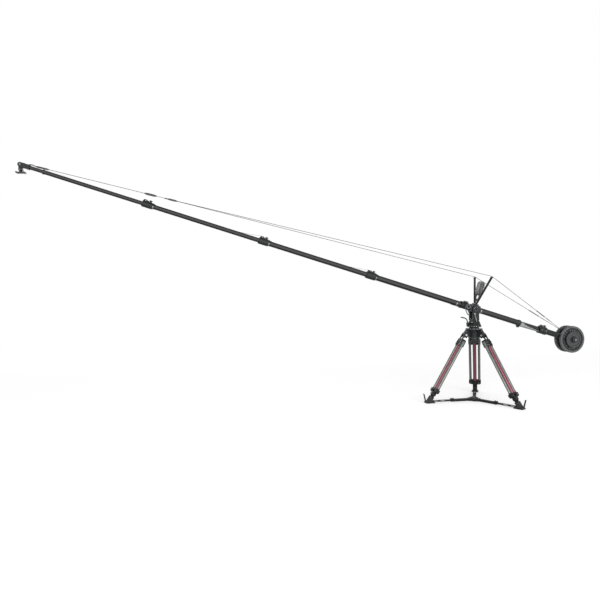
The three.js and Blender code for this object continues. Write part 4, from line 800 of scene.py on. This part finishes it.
# Tilt lever: a bright plated clamp lever on the near cheek. Its arm hangs down from the hub and ends
# in a ball.
lever_face = -(outside + 0.0003)
lever_hub = Vector((-0.028, 0, pivot - 0.057))
lever_tip = Vector((-0.002, 0, pivot - 0.151))
form = bmesh.new()
turned(form, [(0, -0.022), (0.0075, -0.022), (0.009, -0.02), (0.009, -0.013), (0.007, -0.011), (0.007, 0),
              (0, 0)], "y", lever_hub, 32, base=lever_face)
along = [lever_hub.lerp(lever_tip, share) + Vector((0, lever_face - 0.017, 0))
         for share in (0, 0.2, 0.5, 0.85, 1)]
swept(form, along, [0.0055, 0.0048, 0.0048, 0.0056, 0.005])
turned(form, [(0, -0.006), (0.0045, -0.005), (0.0062, 0), (0.0045, 0.005), (0, 0.006)], "z", along[-1], 24)
bright = surface("bright_plated_fitting", (0.13, 0.133, 0.136), (0.27, 0.274, 0.278), (0.2, 0.34),
                 metallic=1.0, grain=70)
fitted("tilt_lever", meshed(form, bright), upright, "tilt_lock_lever", ["tilt_lock_lever"],
       0.0004)

# Fulcrum block: the machined block that the boom pivots in, with trunnions on both sides and an
# octagonal socket whose split lug is clamped by the boom's ring knob.
trunnion_reach = 0.0555
block_face = 0.0362


def octagon(flats, corner=0.003):
    """An octagon's outline across its flats, with softened corners."""
    reach = flats / 2 / math.cos(math.pi / 8)
    return rounded([(reach * math.cos(math.radians(22.5 + 45 * i)),
                     reach * math.sin(math.radians(22.5 + 45 * i))) for i in range(8)], corner, 3)


def pipe(bm, outer, inner, axis, start, end):
    """A hollow length between two outlines that have as many points."""
    skin(bm, [[at(axis, a, b, along) for a, b in outline]
              for outline, along in ((outer, start), (outer, end), (inner, end), (inner, start))],
         closed=True)


def clamp_lug(bm, foot, top, start, end, half, corner=0.008):
    """An upstanding clamp lug with rounded shoulders and a split down its middle."""
    outline = rounded([(start, foot, 0), (end, foot, 0), (end, top), (start, top)], corner)
    split = 0.0015
    both_sides(bm, outline, "y", split, half)


form = bmesh.new()
slab(form, rounded([(-0.062, -0.046), (0.062, -0.046), (0.062, 0.046), (-0.062, 0.046)], 0.014),
     "y", -block_face, block_face)
turned(form, [(0, -trunnion_reach), (0.0135, -trunnion_reach), (0.015, -trunnion_reach + 0.0015),
              (0.015, trunnion_reach - 0.0015), (0.0135, trunnion_reach), (0, trunnion_reach)], "y")
slab(form, octagon(0.078), "x", -0.19, -0.06)
slab(form, octagon(0.084, 0.004), "x", -0.19, -0.176)
slab(form, octagon(0.072, 0.004), "x", 0.055, 0.066)
tool = bmesh.new()
slab(tool, octagon(0.0646), "x", -0.2, -0.055)
slab(tool, octagon(0.0666), "x", -0.057, 0.08)
rod(tool, 0.006, -0.07, -0.052, "y")
cast("fulcrum_block", carved(form, tool), boom_frame, "boom", ["fulcrum_block"], 0.0012)

form = bmesh.new()
clamp_lug(form, 0.035, 0.0585, -0.152, -0.098, 0.017, 0.01)
cast("fulcrum_clamp_lug", form, boom_frame, "boom", (), 0.0012)

form = bmesh.new()
for x in (-0.054, 0.054):
    for z in (-0.03, 0.03):
        screw_pair(form, "y", x, z, block_face, 0.0035)
for x in (-0.139, -0.111):
    screw_pair(form, "y", x, 0.05, 0.017, 0.0045)
plated_parts("fulcrum_screws", form, boom_frame, "boom")

# Ring knob: a turned steel hand ring on the socket's near side with a dark centre, and a wire loop
# under it that keeps the clamp's pin from being lost.
ring_x = -0.102
ring_face = -0.0393
form = bmesh.new()
turned(form, [(0.0165, 0), (0.025, 0), (0.028, -0.003), (0.028, -0.015), (0.0255, -0.018), (0.0185, -0.018),
              (0.0165, -0.016)], "y", (ring_x, 0, 0), 64, base=ring_face)
ring_steel = surface("satin_ring_steel", (0.045, 0.047, 0.049), (0.1, 0.103, 0.106), (0.28, 0.42),
                     metallic=1.0, grain=70)
fitted("boom_ring_knob", meshed(form, ring_steel), boom_frame, "boom_clamp_knob",
       ["boom_clamp_knob"])

form = bmesh.new()
turned(form, [(0.008, 0), (0.0165, 0), (0.0165, -0.014), (0.01, -0.012), (0.008, -0.012)],
       "y", (ring_x, 0, 0), base=ring_face)
fitted("boom_ring_knob_centre", meshed(form, knob_plastic), boom_frame, "boom_clamp_knob")

form = bmesh.new()
loop = through([(-0.108, -0.042, 0.032), (-0.124, -0.052, 0.03), (-0.138, -0.06, 0.014),
                (-0.142, -0.061, -0.012), (-0.134, -0.061, -0.04), (-0.117, -0.061, -0.068),
                (-0.094, -0.061, -0.09), (-0.076, -0.06, -0.096), (-0.07, -0.0585, -0.084),
                (-0.08, -0.05, -0.064), (-0.092, -0.042, -0.044), (-0.098, -0.0395, -0.036)])
swept(form, loop, 0.0055, 12)
wire = surface("galvanised_wire", (0.045, 0.046, 0.048), (0.1, 0.102, 0.105), (0.4, 0.55),
               metallic=0.4, grain=200, specular=0.3)
fitted("clamp_pin_wire_loop", meshed(form, wire), boom_frame, "boom")

# Boom tubes: octagonal anodised aluminium, four sections forward of the fulcrum that get smaller,
# and one behind it. Each slides into the one behind and is clamped there by a collar.
boom_flats = (0.064, 0.056, 0.049, 0.043)
tube_wall = 0.0018
first_collar = -1.357
section_pitch = 1.302
collars = [first_collar - i * section_pitch for i in range(3)]
boom_end = collars[2] - 1.069
meeting = -0.06
dark_anodised = surface("dark_anodised_boom", (0.003, 0.0033, 0.0036), (0.007, 0.0074, 0.008), (0.14, 0.22),
                        grain=220, stretch=(0.03, 1, 1), specular=0.22)


def boom_tube(name, flats, start, end, stands_for):
    """One octagonal section of the boom, open at both ends."""
    form = bmesh.new()
    pipe(form, octagon(flats), octagon(flats - 2 * tube_wall, 0.002), "x", start, end)
    fitted(name, meshed(form, dark_anodised), boom_frame, "boom", stands_for)


for i, flats in enumerate(boom_flats):
    rear = meeting - 0.0003 if i == 0 else collars[i - 1] + 0.1
    front = boom_end if i == 3 else collars[i] - 0.0047
    boom_tube(f"boom_section_{i + 1}", flats, front, rear, [f"boom_tube_{i + 1}"])
boom_tube("rear_section", 0.066, meeting + 0.0003, 0.628, ["rear_tube"])
form = bmesh.new()
pipe(form, octagon(0.074), octagon(0.0546, 0.002), "x", 0.598, 0.628)
cast("rear_section_end_ring", form, boom_frame, "boom", (), 0.001)

# Collars: a cast sleeve on the front end of each section clamps the smaller tube in it. It has a
# split lug in front, a boss with a clamp knob behind and a bare aluminium clip under the tube. A
# thin safety wire runs forward from the two larger ones.
def clip(bm, flats, thickness, start, end, up):
    """A strip bent round the lower half of an octagonal tube."""
    outline = []
    for half, way in ((flats / 2 + thickness, 1), (flats / 2 + 0.0001, -1)):
        short = half * math.tan(math.pi / 8)
        outline += [(-half, up), (-half, -short), (-short, -half), (short, -half), (half, -short),
                    (half, up)][::way]
    slab(bm, outline, "x", start, end)


band_metal = surface("bare_aluminium_band", (0.1, 0.103, 0.103), (0.2, 0.205, 0.205), (0.34, 0.48),
                     metallic=0.9, grain=120, stretch=(1, 0.2, 0.2))
for i, centre in enumerate(collars):
    outer = boom_flats[i] + 0.015
    top = outer / 2
    form = bmesh.new()
    slab(form, octagon(outer, 0.004), "x", centre - 0.055, centre + 0.055)
    block(form, (centre + 0.007, centre + 0.045), (-0.015, 0.015), (top - 0.004, top + 0.006), 0.005)
    block(form, (centre - 0.052, centre + 0.048), (-0.0165, 0.0165), (top - 0.004, top + 0.004), 0.004, "y")
    clamp_lug(form, top - 0.004, top + 0.02, centre - 0.048, centre - 0.004, 0.016, 0.012)
    block(form, (centre - 0.008, centre + 0.011), (-0.013, 0.013), (top - 0.004, top + 0.013), 0.005, "y")
    slab(form, rounded([(centre + 0.05, boom_flats[i] / 2 + 0.0005, 0),
                        (centre + 0.098, boom_flats[i] / 2 + 0.0005), (centre + 0.058, top + 0.002),
                        (centre + 0.05, top + 0.002, 0)], 0.0004), "y", -0.009, 0.009)
    tool = bmesh.new()
    slab(tool, octagon(boom_flats[i] + 0.0006), "x", centre - 0.005, centre + 0.12)
    slab(tool, octagon(boom_flats[i + 1] + 0.0006), "x", centre - 0.07, centre)
    collar = f"collar_{i + 1}"
    cast(f"{collar}_casting", carved(form, tool), boom_frame, "boom", [collar], 0.001)

    form = bmesh.new()
    foot = top + 0.0063
    knob(form, "z", (centre + 0.026, 0, 0), foot, top + 0.006 + 0.018, 0.017)
    fitted(f"{collar}_clamp_knob", meshed(form, knob_plastic),
           boom_frame, f"{collar}_knob", [f"{collar}_knob"])

    form = bmesh.new()
    clip(form, boom_flats[i], 0.003, centre + 0.058, centre + 0.07, 0.004)
    fitted(f"{collar}_band", meshed(form, band_metal), boom_frame, "boom", (), 0.0005)

    form = bmesh.new()
    screw_pair(form, "y", centre - 0.024, top + 0.01, 0.0155, 0.0045)
    cap_screw(form, "z", centre + 0.0585, 0, top + 0.0025, 0.004)
    plated_parts(f"{collar}_screws", form, boom_frame, "boom")
    if i < 2:
        form = bmesh.new()
        small = boom_flats[i + 1] / 2
        swept(form, through([(centre - 0.03, 0, top + 0.0205), (centre - 0.046, 0, top + 0.019),
                             (centre - 0.15, 0, (top + small) / 2 + 0.0085),
                             (centre - 0.262, 0, small + 0.0016), (centre - 0.28, 0, small + 0.0012)]),
              0.0012, 8)
        fitted(f"{collar}_safety_wire", meshed(form, wire), boom_frame, "boom")

# Bare aluminium clips on both sides of the fulcrum: each is bent round the lower half of its tube,
# and the front one ends in a strip that runs under the tube into the socket.
form = bmesh.new()
clip(form, 0.064, 0.003, -0.252, -0.236, 0.006)
block(form, (-0.3, -0.192), (-0.016, 0.016), (-0.0365, -0.0322), 0.002, "x")
clip(form, 0.066, 0.004, 0.0725, 0.09, 0.01)
fitted("fulcrum_clips", meshed(form, band_metal), boom_frame, "boom", (), 0.0005)

# Nose: a small tube with a flange is pushed into the last section, and a cast fork on its end
# carries the level head on a pin.
nose_end = boom_end - 0.185
fork_end = nose_end + 0.039
head_pivot = nose_end - 0.053
boom_tube("nose_section", 0.038, nose_end, boom_end + 0.08, ["nose_tube"])
form = bmesh.new()
pipe(form, octagon(0.049), octagon(0.0382), "x", boom_end - 0.0153, boom_end - 0.0003)
cast("nose_flange", form, boom_frame, "boom", (), 0.001)

form = bmesh.new()
slab(form, rounded([(head_pivot - 0.024, -0.024), (fork_end, -0.024, 0.004), (fork_end, 0.024, 0.004),
                    (head_pivot - 0.024, 0.024)], 0.0235, 10), "y", -0.027, 0.027)
slab(form, rounded([(fork_end - 0.016, 0.02, 0), (fork_end, 0.02, 0), (fork_end, 0.034),
                    (fork_end - 0.014, 0.034)], 0.004), "y", -0.004, 0.004)
tool = bmesh.new()
block(tool, (head_pivot - 0.03, head_pivot + 0.042), (-0.0163, 0.0163), (-0.03, 0.03))
slab(tool, octagon(0.0386), "x", nose_end - 0.0003, fork_end + 0.01)
rod(tool, 0.003, -0.01, 0.01, "y", (fork_end - 0.006, 0, 0.029), 16)
for side in (-1, 1):
    block(tool, sorted((head_pivot + 0.02, fork_end - 0.01)), sorted((side * 0.0255, side * 0.04)),
          (-0.012, 0.012), 0.005, "y")
cast("nose_fork", carved(form, tool), boom_frame, "boom", ["nose_fork"], 0.001, settled=True)

form = bmesh.new()
turned(form, [(0, -0.031), (0.0095, -0.031), (0.0105, -0.0295), (0.0105, -0.0275), (0.007, -0.0272),
              (0.007, 0.0272), (0.0105, 0.0275), (0.0105, 0.0295), (0.0095, 0.031), (0, 0.031)],
       "y", (head_pivot, 0, 0), 24, hexagon)
for x in (head_pivot + 0.03, fork_end - 0.02):
    for side in (-1, 1):
        cap_screw(form, "z", x, side * 0.012, 0.024, 0.004)
fitted("nose_fork_pin", meshed(form, wear_and_highlight_metal), boom_frame, "boom", settled=True)

# Level head and camera plate: the cast head hangs plumb from the fork's pin, and the plate turns
# under it on a round boss. The plate has a raised end on both sides and two slots for the camera's
# screws.
plumb = Matrix.Rotation(math.radians(-boom_tilt), 4, "Y")
head_frame = boom_frame @ Matrix.Translation((head_pivot, 0, 0)) @ plumb
form = bmesh.new()
slab(form, rounded([(-0.018, -0.048, 0), (0.018, -0.048, 0), (0.019, 0.019), (-0.019, 0.019)], 0.0185, 10),
     "y", -0.016, 0.016)
block(form, (-0.018, 0.018), (-0.027, 0.027), (-0.059, -0.044), 0.006)
turned(form, [(0, -0.068), (0.013, -0.068), (0.014, -0.067), (0.014, -0.06), (0.017, -0.056), (0, -0.056)])
tool = bmesh.new()
rod(tool, 0.0073, -0.03, 0.03, "y", sides=48)
cast("level_head", carved(form, tool), head_frame, "level_head", ["level_head"], 0.001)

form = bmesh.new()
screw_pair(form, "y", 0, -0.0515, 0.027, 0.004)
for side in (-1, 1):
    cap_screw(form, "x", side * 0.017, -0.0515, 0.018, 0.0035)
plated_parts("level_head_screws", form, head_frame, "level_head")

form = bmesh.new()
turned(form, [(0, -0.0763), (0.02, -0.0763), (0.02, -0.07), (0.0185, -0.0683), (0, -0.0683)])
block(form, (-0.042, 0.042), (-0.026, 0.026), (-0.0863, -0.0763), 0.008)
for side in (-1, 1):
    block(form, sorted((side * 0.029, side * 0.044)), (-0.036, 0.036), (-0.0863, -0.0735), 0.006)
tool = bmesh.new()
for side in (-1, 1):
    block(tool, (-0.02, 0.02), (side * 0.017 - 0.0035, side * 0.017 + 0.0035), (-0.1, -0.06), 0.003)
cast("camera_plate", carved(form, tool), head_frame, "camera_plate", ["camera_plate"], 0.001)

# Slide tube behind the rear section: dark anodised like the boom, with a bare aluminium channel
# under it that widens to a bracket and a dark hook at the section's end.
boom_tube("rear_slide_section", 0.054, 0.56, 0.9547, ["rear_slide_tube"])
form = bmesh.new()
both_sides(form, rounded([(0.6285, -0.037, 0.004), (0.896, -0.0315, 0.001), (0.896, -0.023, 0.002),
                          (0.735, -0.01), (0.69, 0.002), (0.66, 0.018), (0.64, 0.016), (0.6285, -0.004)],
                         0.006), "y", 0.0274, 0.0306)
slab(form, [(0.6285, -0.037), (0.896, -0.0315), (0.896, -0.0274), (0.6285, -0.033)], "y", -0.0306, 0.0306)
fitted("slide_channel", meshed(form, band_metal), boom_frame, "boom", (), 0.0005)

form = bmesh.new()
slab(form, rounded([(0.598, -0.036, 0), (0.628, -0.036, 0), (0.632, -0.05), (0.62, -0.057), (0.604, -0.052)],
                   0.004), "y", -0.014, 0.014)
cast("rear_section_hook", form, boom_frame, "boom", (), 0.0008)

# Rear clamp: a cast octagonal sleeve that joins the slide tube to the larger weight tube, with a
# split lug in front and a clamp knob behind.
form = bmesh.new()
slab(form, octagon(0.088, 0.005), "x", 0.9, 1.0)
slab(form, octagon(0.09, 0.005), "x", 0.898, 0.914)
slab(form, octagon(0.09, 0.005), "x", 0.984, 1.0)
clamp_lug(form, 0.041, 0.063, 0.91, 0.946, 0.015, 0.008)
block(form, (0.954, 0.99), (-0.015, 0.015), (0.041, 0.051), 0.005)
tool = bmesh.new()
slab(tool, octagon(0.0546), "x", 0.88, 0.957)
slab(tool, octagon(0.0686), "x", 0.955, 1.01)
cast("rear_clamp_casting", carved(form, tool), boom_frame, "boom", ["rear_clamp"], 0.0012)
form = bmesh.new()
knob(form, "z", (0.972, 0, 0), 0.0513, 0.069, 0.015)
fitted("rear_clamp_hand_knob", meshed(form, knob_plastic),
       boom_frame, "rear_clamp_knob", ["rear_clamp_knob"])
form = bmesh.new()
screw_pair(form, "y", 0.928, 0.053, 0.015, 0.005)
for x in (0.922, 0.976):
    screw_pair(form, "y", x, 0, 0.044, 0.005)
plated_parts("rear_clamp_screws", form, boom_frame, "boom")

# Weight tube and its stay post: a thicker octagonal tube with a cap, through which the weight bar
# passes, and a plate welded on its top that the two stays hook into.
bar_at = 1.346
hook_x, hook_up = 1.205, 0.076
form = bmesh.new()
pipe(form, octagon(0.068), octagon(0.062), "x", 0.9553, 1.378)
tool = bmesh.new()
rod(tool, 0.0143, -0.05, 0.05, "y", (bar_at, 0, 0), 48)
fitted("weight_section", meshed(carved(form, tool), dark_anodised),
       boom_frame, "boom", ["weight_tube"])
form = bmesh.new()
slab(form, octagon(0.0618), "x", 1.368, 1.376)
fitted("weight_section_cap", meshed(form, knob_plastic), boom_frame, "boom", (), 0.001)
form = bmesh.new()
slab(form, rounded([(1.177, 0.033, 0), (1.219, 0.033, 0), (1.219, 0.084), (1.191, 0.084)], 0.006),
     "y", -0.005, 0.005)
block(form, (1.168, 1.23), (-0.015, 0.015), (0.0335, 0.0375), 0.004)
tool = bmesh.new()
rod(tool, 0.0045, -0.01, 0.01, "y", (hook_x, 0, hook_up), 24)
cast("stay_post", carved(form, tool), boom_frame, "boom", (), 0.001)

# Counterweights: on each side of the tube a large rubber-covered disc and a smaller cast iron one
# are threaded on a steel bar and held by a hand nut.
bar_middle = Vector((bar_at, 0, 0))
steel = surface("turned_steel_bar", (0.09, 0.092, 0.094), (0.18, 0.184, 0.188), (0.24, 0.36),
                metallic=1.0, grain=300, stretch=(1, 0.05, 1))
disc_rubber = surface("disc_rubber", (0.01, 0.01, 0.011), (0.024, 0.025, 0.026), (0.55, 0.75),
                      grain=60, bump=0.0004, relief=400, specular=0.25)
disc_rim = surface("scuffed_disc_rim", (0.038, 0.039, 0.041), (0.085, 0.087, 0.089), (0.5, 0.7), grain=40)
disc_iron = surface("hammered_iron_disc", (0.016, 0.0165, 0.0175), (0.04, 0.041, 0.043), (0.4, 0.55),
                    metallic=0.3, grain=90, bump=0.0012, relief=140)
disc_marks = surface("worn_disc_marks", (0.09, 0.09, 0.09), (0.2, 0.2, 0.2), (0.5, 0.7), grain=200)
form = bmesh.new()
turned(form, [(0, -0.124), (0.012, -0.124), (0.014, -0.122), (0.014, 0.122), (0.012, 0.124), (0, 0.124)],
       "y", bar_middle, 40)
fitted("weight_bar", meshed(form, steel), boom_frame, "boom", ["weight_bar"])
for word, side in (("near", -1), ("far", 1)):
    start = 0.0343
    large = [(0.0143, 0), (0.058, 0), (0.06, 0.001), (0.064, 0.009), (0.136, 0.009), (0.14, 0.001),
             (0.142, 0), (0.162, 0), (0.166, 0.004), (0.166, 0.026), (0.162, 0.03), (0.142, 0.03),
             (0.14, 0.029), (0.136, 0.021), (0.064, 0.021), (0.06, 0.029), (0.058, 0.03), (0.03, 0.03),
             (0.028, 0.029), (0.0143, 0.029)]
    form = bmesh.new()
    turned(form, large, "y", bar_middle, 96, base=side * start, out=side)
    rim_faces = [face for face in form.faces if (face.calc_center_median() - bar_middle).xz.length > 0.139]
    for face in rim_faces:
        face.material_index = 1
    fitted(f"large_disc_{word}", meshed(form, disc_rubber, disc_rim),
           boom_frame, "boom", [f"large_plate_{word}"], settled=True)

    form = bmesh.new()
    for i in range(24):
        if i % 4 == 3:
            continue
        turn = Matrix.Translation(bar_middle) @ Matrix.Rotation(math.radians(15 * i), 4, "Y")
        place = sorted((side * (start + 0.0208), side * (start + 0.0222)))
        moved(form, turn, block, (0.107, 0.12), place, (-0.0035, 0.0035), 0.0015, "y")
    fitted(f"large_disc_{word}_marks", meshed(form, disc_marks), boom_frame, "boom")

    start = 0.0646
    small = [(0.0143, 0), (0.098, 0), (0.1, 0.002), (0.1, 0.019), (0.097, 0.022), (0.082, 0.022),
             (0.079, 0.017), (0.044, 0.017), (0.041, 0.022), (0.0143, 0.022)]
    form = bmesh.new()
    turned(form, small, "y", bar_middle, 96, base=side * start, out=side)
    fitted(f"small_disc_{word}", meshed(form, disc_iron),
           boom_frame, "boom", [f"small_plate_{word}"])

    start = 0.0869
    form = bmesh.new()
    turned(form, [(0.0143, 0), (0.036, 0), (0.036, 0.018), (0.033, 0.022), (0.026, 0.026), (0.0143, 0.026)],
           "y", bar_middle, 96, nut_flutes, side * start, side)
    fitted(f"weight_hand_nut_{word}", meshed(form, knob_plastic),
           boom_frame, f"weight_knob_{word}", [f"weight_knob_{word}"])

# Mast: two black aluminium arms spread in a V on a base plate, tied by a brace and a webbed foot
# with two round holes. Each arm's cap carries a stay over its round top.
mast_foot = 0.0463
arm_foot = mast_foot + 0.01
cap_height = 0.3886
tip_y = 0.195
arm_spread = 0.016
form = bmesh.new()
block(form, (-0.031, 0.031), (-0.031, 0.031), (mast_foot, mast_foot + 0.014), 0.004)
slope = math.atan2(tip_y - arm_spread, cap_height - arm_foot)
reach = math.hypot(tip_y - arm_spread, cap_height - arm_foot)
for side in (-1, 1):
    lean = Matrix.Translation((0, side * arm_spread, arm_foot)) @ Matrix.Rotation(-side * slope, 4, "X")
    moved(form, lean, block, (-0.0115, 0.0115), (-0.008, 0.008), (-0.004, reach), 0.003)
    turned(form, [(0, -0.013), (0.01, -0.013), (0.012, -0.01), (0.0095, 0), (0.012, 0.01), (0.01, 0.013),
                  (0, 0.013)], "y", (0, 0, cap_height), 32, base=side * tip_y)
block(form, (-0.009, 0.009), (-0.086, 0.086), (0.178, 0.19), 0.002, "x")
web = [(-0.03, 0.055), (0.03, 0.055), (0.083, 0.18), (-0.083, 0.18)]
slab(form, web, "x", -0.0035, 0.0035)
tool = bmesh.new()
rod(tool, 0.025, -0.02, 0.02, "x", (0, 0, 0.148), 48)
rod(tool, 0.011, -0.02, 0.02, "x", (0, 0, 0.088), 32)
cast("mast", carved(form, tool), boom_frame, "boom", ["mast"], 0.001)
form = bmesh.new()
for x in (-0.023, 0.023):
    for y in (-0.024, 0.024):
        cap_screw(form, "z", x, y, mast_foot + 0.014, 0.004)
for side in (-1, 1):
    screw_pair(form, "x", side * 0.078, 0.184, 0.0135, 0.005)
plated_parts("mast_screws", form, boom_frame, "boom")

# Cable winder: the moulded grey plastic former that the spare cable is wound on. It fills the
# loops, and on each side a smaller raised face with four ribs stands a little out of them.
def stadium(half_wide, half_high):
    """An upright outline with round ends, about the hank's middle."""
    return rounded([(-half_wide, hank_middle - half_high), (half_wide, hank_middle - half_high),
                    (half_wide, hank_middle + half_high), (-half_wide, hank_middle + half_high)],
                   half_wide - 0.0002, 10)


winder_plastic = surface("grey_winder_plastic", (0.03, 0.031, 0.032), (0.11, 0.112, 0.115), (0.45, 0.65),
                         grain=55, bump=0.0003)
winder_wide = hank_round - cable_radius - 0.0006
winder_high = hank_round + hank_run - cable_radius - 0.0006
form = bmesh.new()
slab(form, stadium(winder_wide, winder_high), "y", -0.026, 0.026)
for side in (-1, 1):
    slab(form, stadium(winder_wide - 0.007, winder_high - 0.007), "y", side * 0.026, side * 0.0305)
    for up in (-0.036, -0.012, 0.012, 0.036):
        block(form, (-0.014, 0.014), sorted((side * 0.03, side * 0.034)),
              (hank_middle + up - 0.003, hank_middle + up + 0.003), 0.002, "y")
fitted("cable_winder", meshed(form, winder_plastic), boom_frame, "boom", (), 0.001)

# Hank's tie: a black webbing strap round the brace and over the foot of the loops, which holds the
# hank to the mast.
tie_out = rounded([(-0.041, 0.1755), (0.041, 0.1755), (0.041, 0.204), (-0.041, 0.204)], 0.006)
tie_in = rounded([(-0.0392, 0.1773), (0.0392, 0.1773), (0.0392, 0.2022), (-0.0392, 0.2022)], 0.0042)
webbing = surface("black_webbing", (0.012, 0.012, 0.013), (0.03, 0.03, 0.032), (0.75, 0.9),
                  grain=500, stretch=(1, 0.3, 0.3), bump=0.0004, relief=900)
form = bmesh.new()
pipe(form, tie_out, tie_in, "x", -0.0095, 0.0095)
fitted("hank_tie", meshed(form, webbing), boom_frame, "boom")

# Stays: stranded steel wire from the nose to the mast's two caps and down to the post at the
# counterweights, with swaged sleeves, a turnbuckle, a joint and a yoke where one wire becomes two.
stay_foot, stay_top = 0.028, 0.404
stay_start = Vector((fork_end + 0.016, 0, stay_foot))
stay_slope = (stay_top - stay_foot) / -stay_start.x
stay_radius = 0.003
swage = surface("dark_swage", (0.03, 0.031, 0.033), (0.075, 0.077, 0.08), (0.3, 0.45),
                metallic=0.8, grain=90)


def on_stay(along, y=0.0):
    """A point of the front stay, by its distance along the boom from the stay's start."""
    return Vector((stay_start.x + along, y, stay_start.z + along * stay_slope))


def strand(bm, start, end, radius):
    """Stranded wire between two points: six round lobes that wind about its line."""
    line = end - start
    steps = max(2, round(line.length / 0.005))
    side = line.orthogonal().normalized()
    other = line.normalized().cross(side)
    rings = []
    for i in range(steps + 1):
        twist = math.radians(45) * i
        ring = []
        for j in range(12):
            angle = 2 * math.pi * j / 12 + twist
            reach = radius * (1 if j % 2 else 0.78)
            ring.append(start + line * (i / steps) + (side * math.cos(angle) + other * math.sin(angle))
                        * reach)
        rings.append(ring)
    skin(bm, rings)


def sleeve(bm, start, end, radius, neck=0.35):
    """A swaged sleeve between two points, tapered at both ends."""
    line = end - start
    taper = min(0.3, 2.5 * radius / line.length)
    swept(bm, [start, start + line * 0.02, start + line * taper, end - line * taper, end - line * 0.02, end],
          [radius * neck, radius * 0.55, radius, radius, radius * 0.55, radius * neck], 20)


def nut(bm, centre, direction, radius, length):
    """A hexagonal nut on a line."""
    turn = direction.to_track_quat("Z", "Y").to_matrix().to_4x4()
    moved(bm, Matrix.Translation(centre) @ turn, rod, radius, -length / 2, length / 2, sides=24,
          shape=hexagon)


wires = bmesh.new()
dark_fittings = bmesh.new()
bright_fittings = bmesh.new()
ahead = (on_stay(1) - on_stay(0)).normalized()
strand(wires, Vector((fork_end + 0.0003, 0, stay_foot)), on_stay(0.034), stay_radius)
sleeve(dark_fittings, on_stay(0.03), on_stay(0.165), 0.009)
lift = Vector((0, 0, 1))
swept(dark_fittings, through([Vector((fork_end - 0.006, 0, 0.026)), Vector((fork_end - 0.006, 0, 0.034)),
                              on_stay(-0.006) + lift * 0.01, on_stay(0.01) + lift * 0.009,
                              on_stay(0.026) + lift * 0.003, on_stay(0.033)]), 0.003, 10)
nut(bright_fittings, on_stay(0.03), ahead, 0.0056, 0.005)
nut(bright_fittings, on_stay(0.165), ahead, 0.0056, 0.005)
strand(wires, on_stay(0.163), on_stay(1.142), stay_radius)
sleeve(dark_fittings, on_stay(1.136), on_stay(1.268), 0.012)
swept(bright_fittings, [on_stay(1.264), on_stay(1.35)], 0.0028, 12)
for side in (-1, 1):
    swept(bright_fittings, [on_stay(1.272, side * 0.0045), on_stay(1.3, side * 0.007),
                            on_stay(1.325, side * 0.007), on_stay(1.3477, side * 0.0045)], 0.0016, 10)
sleeve(dark_fittings, on_stay(1.348), on_stay(1.38), 0.006)
sleeve(dark_fittings, on_stay(1.376), on_stay(1.488), 0.01, 0.7)
for side in (-1, 1):
    tip = Vector((0, side * tip_y, stay_top))
    strand(wires, on_stay(1.4886, side * 0.006), tip, stay_radius)
    foot = Vector((hook_x, side * 0.0081, hook_up))
    strand(wires, tip, foot, stay_radius)
    sleeve(dark_fittings, tip.lerp(foot, 0.62), tip.lerp(foot, 0.75), 0.0055)
    for edge in (-1, 1):
        swept(bright_fittings, through([tip.lerp(foot, 0.748),
                                        tip.lerp(foot, 0.77) + Vector((0, edge * 0.008, 0)),
                                        tip.lerp(foot, 0.81) + Vector((0, edge * 0.008, 0)),
                                        tip.lerp(foot, 0.832)], 4), 0.002, 10)
    sleeve(bright_fittings, tip.lerp(foot, 0.828), tip.lerp(foot, 0.85), 0.0045)
    sleeve(bright_fittings, tip.lerp(foot, 0.955), foot, 0.0045)
fitted("stay_wires", meshed(wires, wire), boom_frame, "boom",
       ["front_stay", "stay_near", "stay_far"], settled=True)
fitted("stay_sleeves", meshed(dark_fittings, swage), boom_frame, "boom", ["stay_yoke"],
       settled=True)
fitted("stay_fittings", meshed(bright_fittings, bright), boom_frame, "boom", settled=True)
